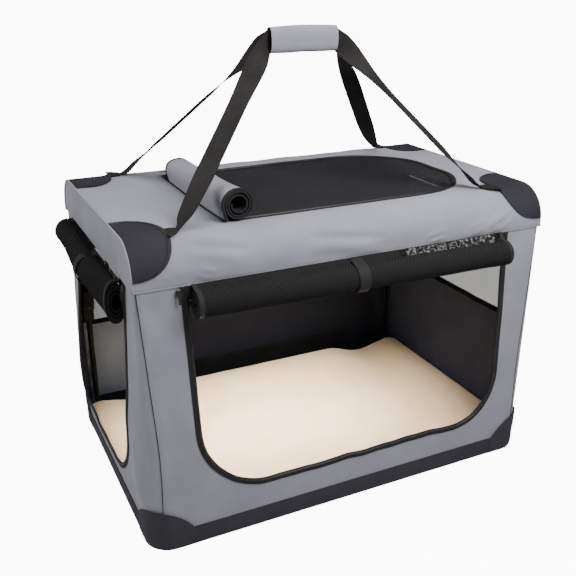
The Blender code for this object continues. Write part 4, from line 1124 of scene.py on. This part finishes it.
def end_surface(side, lift=0.0):
    """An end valance's face, upright, with a few soft waves."""
    sign = 1 if side == "right" else -1

    def surface(y, z, out):
        held = smooth((roof_head(y) - z) / 0.02) * smooth((z - HEM) / 0.012) * smooth((0.3 - abs(y)) / 0.05)
        wave = 0.0058 * noise.noise(Vector((y * 8, z * 12, 4 + sign)))
        return Vector((sign * (half_length(z) - 0.0004 + lift + out + held * wave), y, z))
    return surface


def roof_head(y):
    """The height of the roof's underside over a place at its ends."""
    beyond = abs(y) - SHOULDER_Y
    reach = EDGE_RADIUS - ROOF_CLOTH
    if beyond <= 0:
        return HEIGHT - ROOF_CLOTH
    return SHOULDER_HEIGHT + math.sqrt(max(0.0, reach * reach - beyond * beyond))


end_reach = SHOULDER_Y + EDGE_RADIUS - ROOF_CLOTH - 0.0002
marks = edge_marks(56, 0.8)
rows = [[(m * end_reach, HEM + (roof_head(m * end_reach) - HEM) * j / 12) for m in marks] for j in range(13)]
left_end = sewn_sheet("left_end_cloth", rows, end_surface("left"), ROOF_CLOTH, wall_cloth)
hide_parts("left_end_valance")
left_area = cut_area(rows)
reach = end_reach - SHOULDER_Y
turns = [math.pi / 2 * k / 16 for k in range(17)]
arc = [Vector((SHOULDER_Y + reach * math.sin(turn), SHOULDER_HEIGHT + reach * math.cos(turn))) for turn in turns]
right_side = arc[8:] + [Vector((end_reach, HEM))]
top_side = [Vector((-p.x, p.y)) for p in reversed(arc[:9])] + arc[:9]
left_side = [Vector((-p.x, p.y)) for p in reversed(right_side)]
half = RIGHT_WINDOW[0]


def upper_edge(grow=0.0):
    """The upper window's edge in flat marks: open at its foot, where the right wall's window goes on."""
    out, head, radius = half + grow, UPPER_PANE_HEAD + grow, UPPER_PANE_CORNER + 0.8 * grow
    return rounded_sides([(-out, HEM), (-out, head), (out, head), (out, HEM)], [0, radius, radius, 0])


upper = upper_edge()
rows = ring_rows(upper, [left_side, top_side, right_side], (12, 50, 12), 8)
right_end = sewn_sheet("right_end_cloth", rows, end_surface("right"), ROOF_CLOTH, wall_cloth)
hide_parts("right_end_valance")
right_area = cut_area(rows)
rows = ring_rows(upper, upper_edge(UPPER_BINDING), (12, 50, 12), 2)
end_trim = []
for face, lift in (("outer", TAPE_CLOTH), ("inner", -ROOF_CLOTH - 0.0002)):
    strip = sewn_sheet("upper_window_binding_" + face, rows, end_surface("right", lift), TAPE_CLOTH, [black_binding])
    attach(strip, "top")
    end_trim.append(strip)
rows = [[(m * half, HEM + 0.002 + (UPPER_PANE_HEAD - HEM - 0.002) * j / 4) for m in marks] for j in range(5)]
upper_pane = sewn_sheet("upper_window_pane", rows, end_surface("right", -0.0008), PANE_CLOTH, [window_net])
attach(upper_pane, "top")
for end, cloth, area, trim in (("left", left_end, left_area, []), ("right", right_end, right_area, end_trim)):
    sign = 1 if end == "right" else -1
    line = [roof_surface(sign * ROOF_HALF, HEM_MARK * (2 * k / 90 - 1), -0.0002) for k in range(91)]
    piping = round_cord(end + "_end_piping", line, PIPING_CORD, grey_oxford)
    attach(cloth, "top")
    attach(piping, "top")

# Roof hatch
# The hatch is a dense black mesh sewn in under the roof. Its cover's zip tape runs round three sides,
# and a corded seam closes the fourth, where the cover is sewn on.

HATCH_PANE_DROP = 0.0010
HINGE_CORD = 0.0019
hatch_net = mesh_finish("hatch_net", (0.012, 0.012, 0.0135), (0.034, 0.034, 0.038), 480.0, 0.34, 0.27)
left, right, front, back, small, large = HATCH
middle_u, half_u = (left + right) / 2, (right - left) / 2
middle_v, half_v = (front + back) / 2, (back - front) / 2
rows = []
for j in range(41):
    row = []
    for m in edge_marks(72, 0.5):
        cut = rounding(m * half_u, half_u, large if m > 0 else small)
        row.append((middle_u + m * half_u, middle_v + (half_v - cut) * (2 * j / 40 - 1)))
    rows.append(row)
hatch_pane = sewn_sheet("hatch_pane", rows, raised_roof(-HATCH_PANE_DROP), PANE_CLOTH, [hatch_net])
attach(hatch_pane, "top")
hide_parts("roof_mesh")
cut_area(rows)
counts = (110, 70, 110)
rows = ring_rows(hatch_edge(-TAPE_LAP)[:3], hatch_edge(TAPE_WIDTH)[:3], counts, 4)
hatch_tape = sewn_sheet("hatch_zip_tape", rows, raised_roof(TAPE_LIFT), TAPE_CLOTH, [black_binding])
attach(hatch_tape, "top")
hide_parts("roof_hatch_tape")
for name, grow, make_row in (("hatch_zip_coils", COIL_MARK, coil_row), ("hatch_tape_seam", TAPE_SEAM_MARK, stitch_row)):
    piece = make_row(name, path_on(roof_surface, outline_marks(hatch_edge(grow)[:3], counts), TAPE_LIFT))
    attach(piece, "top")
line = [roof_surface(left - 0.0012, front - 0.004 + (back - front + 0.008) * k / 60, 0.0006) for k in range(61)]
cord = round_cord("hatch_hinge_seam", line, HINGE_CORD, black_binding)
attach(cord, "top")
cut_area(roof_rows, True)

# Roof corner patches
# A dark coated patch over each corner of the roof, where the frame wears on the cloth: straight at the
# crate's end, rounded inwards over the roof and down the valance, with a turned rim stitched on.

PATCH_STARTS = {"front": SHOULDER_Y - 0.101, "back": SHOULDER_Y - 0.091}
PATCH_END = SHOULDER_Y + EDGE_RADIUS * math.pi / 2 - 0.004
PATCH_REACH = {"front_left": 0.098, "back_left": 0.110, "front_right": 0.102, "back_right": 0.096}
PATCH_SQUARENESS = 2.6
PATCH_CLOTH = 0.0012
PATCH_RIM = 0.0085
PATCH_SEAM_INSET = 0.0105
PATCH_SHADE_CORD = 0.0008


def patch_reach(place, share, inset=0.0):
    """How far a patch reaches in from the crate's end, at a share of the way along it."""
    off_middle = min(1.0, abs(2 * share - 1)) ** PATCH_SQUARENESS
    return max(0.002, PATCH_REACH[place] * (1 - off_middle) ** (1 / PATCH_SQUARENESS) - inset)


for end, sx in (("left", -1), ("right", 1)):
    for face, sy in (("front", -1), ("back", 1)):
        shares = [(1 - math.cos(math.pi * k / 40)) / 2 for k in range(41)]
        reaches = [patch_reach(f"{face}_{end}", share) for share in shares]
        depth = PATCH_END - PATCH_STARTS[face]
        places = [PATCH_END - depth * (1 - share) for share in shares]
        rows = [[(sx * (ROOF_HALF + 0.0008 - reach * j / 8), sy * v) for reach, v in zip(reaches, places)]
                for j in range(9)]
        name = f"roof_patch_{face}_{end}"
        patch = sewn_sheet(name, rows, raised_roof(PATCH_CLOTH + 0.0008), PATCH_CLOTH, [dark_patch])
        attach(patch, "top")
        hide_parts(f"corner_patch_{face}_{end}")
        marks = []
        for k in range(61):
            share = 0.02 + 0.96 * k / 60
            v = PATCH_END - depth * (1 - share)
            marks.append((sx * (ROOF_HALF - patch_reach(f"{face}_{end}", share, PATCH_SEAM_INSET)), sy * v))
        row = stitch_row(name + "_seam", path_on(roof_surface, marks, PATCH_CLOTH + 0.0008))
        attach(row, "top")
        rim_rows = [[(sx * (ROOF_HALF + 0.0004 - max(reach * 0.4, reach - PATCH_RIM * j / 3)), sy * v)
                     for reach, v in zip(reaches, places)] for j in range(4)]
        rim = sewn_sheet(name + "_rim", rim_rows, raised_roof(2 * PATCH_CLOTH + 0.0014), PATCH_CLOTH, [dark_patch])
        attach(rim, "top")
        # A thin black cord along the rim's inner edge: a painted shade of the groove between the rim and the patch.
        line = [roof_surface(*rim_rows[3][k], PATCH_CLOTH + 0.0012) for k in range(3, 38)]
        groove = round_cord(name + "_groove", line, PATCH_SHADE_CORD, black_binding, 6)
        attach(groove, "top")
        cut_area(rows)

# Door rolls
# The front and left doors: mesh bound in black tape, unzipped, rolled up on themselves and held under
# the seam by a dark band.

SEAM_HEIGHT = 0.642
ROLL_RADIUS = 0.0325
ROLL_OUTSET = 0.022
ROLL_DROP = 0.0440
LEFT_ROLL_RADIUS = 0.0375
LEFT_ROLL_DROP = 0.0382
ROLL_CLOTH = 0.0026
ROLL_PITCH = 0.0060
ROLL_BINDING = 0.010
BAND_WIDTH = 0.029
BAND_CLOTH = 0.0014
BAND_LEAVES = 120


class RolledSection:
    """The section of a rolled cloth, from its sewn seam over its outer turn to its core.

    start is where its outer turn begins, in degrees, and turn is 1 for a roll wound anticlockwise and -1 for one
    wound clockwise.
    """

    def __init__(self, radius, seam, start, turns, turn=1):
        self.points = [Vector(seam)]
        self.turn = turn
        steps = 40
        outer = radius - ROLL_CLOTH * 0.1
        for k in range(int(turns * steps) + 1):
            angle = math.radians(start) + turn * 2 * math.pi * k / steps
            reach = outer - ROLL_PITCH * k / steps
            self.points.append(Vector((math.cos(angle), math.sin(angle))) * reach)
        self.lengths = [0.0]
        for a, b in zip(self.points, self.points[1:]):
            self.lengths.append(self.lengths[-1] + (b - a).length)

    def at(self, s):
        """The point so far along the cloth and its outward way."""
        k = 0
        while k < len(self.points) - 2 and self.lengths[k + 1] < s:
            k += 1
        a, b = self.points[k], self.points[k + 1]
        ahead = (b - a).normalized()
        return a + ahead * (s - self.lengths[k]), Vector((ahead.y, -ahead.x)) * self.turn


NET_DARK = (0.006, 0.006, 0.006)
NET_LIGHT = (0.030, 0.030, 0.031)
door_net = mesh_finish("door_net", NET_DARK, NET_LIGHT, 250.0, 0.34, 0.04, single=(0.026, 0.10))
left_net = mesh_finish("left_net", NET_DARK, NET_LIGHT, 250.0, 0.34, 0.04, single=(0.016, -0.24))
for net in (door_net, left_net):
    set_gloss(net, 0.0)
z_roll = SEAM_HEIGHT - ROLL_DROP
y_front = -(half_width(z_roll) + ROLL_OUTSET)
x_left = -(half_length(z_roll) + ROLL_OUTSET)
door_section = RolledSection(ROLL_RADIUS, (ROLL_OUTSET - 0.0014, ROLL_DROP + 0.0006), 75, 4.2)
left_section = RolledSection(LEFT_ROLL_RADIUS, (ROLL_OUTSET - 0.0040, LEFT_ROLL_DROP - 0.0010), 75, 3.7)


def rolled(name, section, place, ends, body, finishes, node, seed, anchor=None):
    """A rolled cloth and the tape that binds its two ends, put on a body. A roll with an anchor gets meshes of its own.
    """
    length = section.lengths[-1]

    def surface(along, s, out):
        point, way = section.at(s)
        slack = 0.0016 * noise.noise(Vector((along * 7, s * 9, seed)))
        slack += 0.0009 * noise.noise(Vector((along * 26, s * 22, seed)))
        return place(point + way * (out + slack * smooth(s / 0.05)), along)

    def bound(along, s, out):
        return surface(along, s, out + 0.0007)

    def roll_rows(start, stop, count):
        return [[(start + (stop - start) * i / count, length * j / 140) for i in range(count + 1)] for j in range(141)]

    rows = roll_rows(*ends, int((ends[1] - ends[0]) / 0.012))
    cloth = sewn_sheet(name, rows, surface, ROLL_CLOTH, finishes)
    trim = []
    for label, start, stop in (("start", ends[0] - 0.0006, ends[0] + ROLL_BINDING),
                               ("end", ends[1] - ROLL_BINDING, ends[1] + 0.0006)):
        rows = roll_rows(start, stop, 2)
        trim.append(sewn_sheet(f"{name}_binding_{label}", rows, bound, ROLL_CLOTH + 0.0014, [black_binding]))
    for piece in [cloth] + trim:
        if anchor is None:
            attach(piece, body)
        else:
            fold_down(piece, body)
    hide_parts(node)


def front_place(p, along):
    """A point of the front roll's section, so far along it. The band draws it up more at its left end."""
    free = smooth((ROLL_DROP - p.y) / 0.010)
    return Vector((along, y_front + p.x, z_roll + p.y + (0.0018 - 0.0125 * along) * free))


def left_place(p, along):
    """A point of the left roll's section, so far along it. In front of its band it hangs down, flattened."""
    slack = smooth((-0.06 - along) / 0.17)
    tight = smooth((along + 0.03) / 0.20)
    hung = SEAM_HEIGHT - 0.0022
    below = SEAM_HEIGHT - LEFT_ROLL_DROP + p.y - hung
    return Vector((x_left + ROLL_OUTSET + (p.x - ROLL_OUTSET) * (1 - 0.32 * slack - 0.16 * tight), along,
                   hung + below * (1 + 0.38 * slack - 0.08 * tight)))


rolled("front_rolled_door", door_section, front_place, (-0.403, 0.404), "front_roll",
       [door_net, door_net, black_binding], "front_door_roll", 2.0, SEAM_HEIGHT)
rolled("left_rolled_door", left_section, left_place, (-0.248, 0.248), "left_roll",
       [left_net, left_net, black_binding], "left_door_roll", 6.0, SEAM_HEIGHT)
roll_band_cloth = woven_finish("roll_band_cloth", (0.010, 0.010, 0.011), (0.018, 0.018, 0.019), 0.75, 1400.0, 0.0001)
for name, place, middle, body, radius, drop in (
        ("front", front_place, -0.016, "front_roll", ROLL_RADIUS, ROLL_DROP),
        ("left", left_place, -0.050, "left_roll", LEFT_ROLL_RADIUS, LEFT_ROLL_DROP)):
    def band_surface(along, degrees, out, place=place, middle=middle, radius=radius, drop=drop):
        """The band's face: straight from the seam to where it meets the roll, then round it."""
        angle = math.radians(max(BAND_LEAVES, degrees))
        point = Vector((math.cos(angle), math.sin(angle))) * (radius + 0.0016 + out)
        sewn = Vector((ROLL_OUTSET - 0.0050, drop - 0.0010))
        return place(point.lerp(sewn, max(0, (BAND_LEAVES - degrees) / 40)), middle + along)

    rows = [[(BAND_WIDTH / 2 * (2 * i / 6 - 1), BAND_LEAVES - 40 + 296 * j / 52) for i in range(7)] for j in range(53)]
    band = sewn_sheet(name + "_band", rows, band_surface, BAND_CLOTH, [roll_band_cloth])
    for mark in band.data.uv_layers[0].data:
        mark.uv.y *= radius * math.pi / 180
    fold_down(band, body)
    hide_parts(name + "_roll_band")

# Roof cover roll
# The hatch's cover: the roof's cloth lined with charcoal, unzipped and rolled up to its hinge seam.
# It lies on the roof beside the hatch, rolled tighter towards the back.

COVER_RADIUS = 0.0370
COVER_SETBACK = 0.028
COVER_TURNS = 3.1
COVER_ENDS = (-0.2610, 0.155)
COVER_TAPER = 0.19
COVER_TURN = 0.010
COVER_LEVEL = HEIGHT + 0.0014
cover_section = RolledSection(COVER_RADIUS, (-COVER_SETBACK, 0.0021 - COVER_RADIUS), 205, COVER_TURNS, -1)


def cover_place(p, along):
    """A point of the cover roll's section, let down with the roof's sag. Its back end is thinner and turned in."""
    low = roof_crease(HATCH[0] + COVER_SETBACK, along)
    share = (along - COVER_ENDS[0]) / (COVER_ENDS[1] - COVER_ENDS[0])
    size = 1 - COVER_TAPER * share
    past_seam = p.x + COVER_SETBACK
    turned = COVER_TURN * smooth(share) * smooth(past_seam / 0.024)
    return Vector((HATCH[0] + turned + past_seam * size, along, COVER_LEVEL + (p.y + COVER_RADIUS) * size + low))


rolled("rolled_cover", cover_section, cover_place, COVER_ENDS, "roof_roll", wall_cloth, "roof_cover_roll",
       9.0)

# Handle
# Two webbing straps, each sewn to the roof at both ends with a short tail, run up over the crate.
# A padded grip of the grey cloth, bound in dark tape, wraps both where they meet.

STRAP_WIDTH = 0.050
STRAP_CLOTH = 0.0018
STRAP_ROOTS = {(-1, -1): 0.400, (1, -1): 0.382, (-1, 1): 0.380, (1, 1): 0.394}
STRAP_ROOT_Y = 0.262
STRAP_TAIL = 0.014
STRAP_GAP = 0.0016
GRIP = Vector((0.020, 0.0, 1.088))
GRIP_HALF = 0.090
GRIP_DEPTH = 0.0165
GRIP_HEIGHT = 0.0300
GRIP_CLOTH = 0.0045
GRIP_SQUARENESS = 0.75

webbing, tree, shader = new_finish("webbing", (0.020, 0.018, 0.017), 0.75)
place = add_node(tree, "TexCoord").outputs["UV"]
parts = add_node(tree, "SeparateXYZ", {0: place})
slant = add_node(tree, "Math", {0: parts.outputs["X"]}, operation="ABSOLUTE").outputs[0]
mixed = add_node(tree, "Math", {0: slant, 1: parts.outputs["Y"]}, operation="ADD").outputs[0]
ribs = add_node(tree, "Math", {0: mixed, 1: 2400.0}, operation="MULTIPLY").outputs[0]
ribs = add_node(tree, "Math", {0: ribs}, operation="SINE").outputs[0]
threads = place_effect(tree, weave, Vector=place, Threads_per_metre=900.0)
height = add_node(tree, "Math", {0: ribs, 1: 0.3, 2: threads["Height"]}, operation="MULTIPLY_ADD").outputs[0]
shade = ramp(tree, threads["Drift"], 0.3, 0.7)
tree.links.new(tint(tree, shade, (0.013, 0.012, 0.0115), (0.024, 0.0215, 0.020)), shader.inputs["Base Color"])
set_gloss(webbing, 0.15)
add_bump(tree, shader, height, 0.0003)


def strap_line(sx, sy):
    """Half a strap's middle line, from its sewn tail to the middle of the grip, as (point, way across) pairs.

    It lies flat at its root, turns square to its run as it rises, and stands on edge in the grip.
    """
    root = Vector((sx * STRAP_ROOTS[sx, sy], sy * STRAP_ROOT_Y, HEIGHT + 0.0028))
    inside_grip = Vector((GRIP.x + sx * (GRIP_HALF - 0.02), sy * STRAP_GAP, GRIP.z))
    leave = Vector((GRIP.x + sx * (GRIP_HALF + 0.004), sy * STRAP_GAP, GRIP.z - 0.002))
    run = (leave - root).normalized()
    level_way = Vector((0, 0, 1)).cross(run).normalized() * -sx
    upright = Vector((0, 0, 1))
    flat_way = Vector((0, 1, 0))
    patch = PATCH_REACH[("front_" if sy < 0 else "back_") + ("left" if sx < 0 else "right")]
    tail = Vector((sx * (ROOF_HALF - patch + 0.005 - STRAP_ROOTS[sx, sy]), sy * STRAP_TAIL, 0))
    line = [(root + tail * share, flat_way) for share in (1.0, 0.6, 0.3, 0.12)]
    for k in range(1, 40):
        share = k / 40
        twist = max(0.0, (share - 0.6) / 0.4) ** 1.5
        start = max(0.0, 1 - share / 0.25)
        way = level_way.lerp(upright, twist).lerp(flat_way, start)
        way = way - run * way.dot(run)
        line.append((root.lerp(leave, share), way.normalized()))
    return line + [(leave, upright), (inside_grip, upright)]


for face, sy in (("front", -1), ("back", 1)):
    line = strap_line(-1, sy) + list(reversed(strap_line(1, sy)))
    gone = [0.0]
    for (a, _), (b, _) in zip(line, line[1:]):
        gone.append(gone[-1] + (b - a).length)

    def strap_surface(across, k, out, line=line):
        """A strap's face at a step of its line: a little cupped, and gathered just past its sewn tails."""
        point, way = line[k]
        ahead = (line[min(len(line) - 1, k + 1)][0] - line[max(0, k - 1)][0]).normalized()
        cup = 0.0010 * (1 - (across / (STRAP_WIDTH / 2)) ** 2)
        from_end = min(k, len(line) - 1 - k)
        gather = 1 - 0.62 * math.exp(-((from_end - 3.2) / 1.4) ** 2)
        return point + way * across * gather + way.cross(ahead) * (out + cup + STRAP_CLOTH / 2)

    rows = [[(STRAP_WIDTH / 2 * (2 * i / 10 - 1), k) for i in range(11)] for k in range(len(line))]
    strap = sewn_sheet(face + "_webbing", rows, strap_surface, STRAP_CLOTH, [webbing])
    for mark in strap.data.uv_layers[0].data:
        mark.uv.y = gone[int(round(mark.uv.y))]
    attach(strap, "handle")
    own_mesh(strap)
    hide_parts(face + "_strap")


def grip_surface(x, degrees, out):
    """The grip's padded wall round the straps: swollen at its middle, and pressed in there underneath."""
    angle = math.radians(degrees)
    level, rise = math.cos(angle), math.sin(angle)
    swell = 1 + 0.10 * math.cos(x / GRIP_HALF * math.pi / 2)
    if rise < 0:
        swell -= 0.10 * math.exp(-(x / 0.045) ** 2)
    y = math.copysign(abs(level) ** GRIP_SQUARENESS, level) * (GRIP_DEPTH * swell + out)
    z = math.copysign(abs(rise) ** GRIP_SQUARENESS, rise) * (GRIP_HEIGHT * swell + out)
    return Vector((GRIP.x + x, y, GRIP.z + z))


rows = [[(GRIP_HALF * (2 * i / 30 - 1), -84 + 348 * k / 64) for i in range(31)] for k in range(65)]
grip = sewn_sheet("padded_grip", rows, grip_surface, GRIP_CLOTH, wall_cloth)
for mark in grip.data.uv_layers[0].data:
    mark.uv.y *= 0.0005
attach(grip, "handle")
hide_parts("handle_grip")

# Zip sliders
# A cast slider rides on each zip's coils, with a flat pull hinged on it. Both are enamelled black, like
# the coils.

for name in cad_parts:
    if "slider" in name:
        finish_node(name, zip_coil)
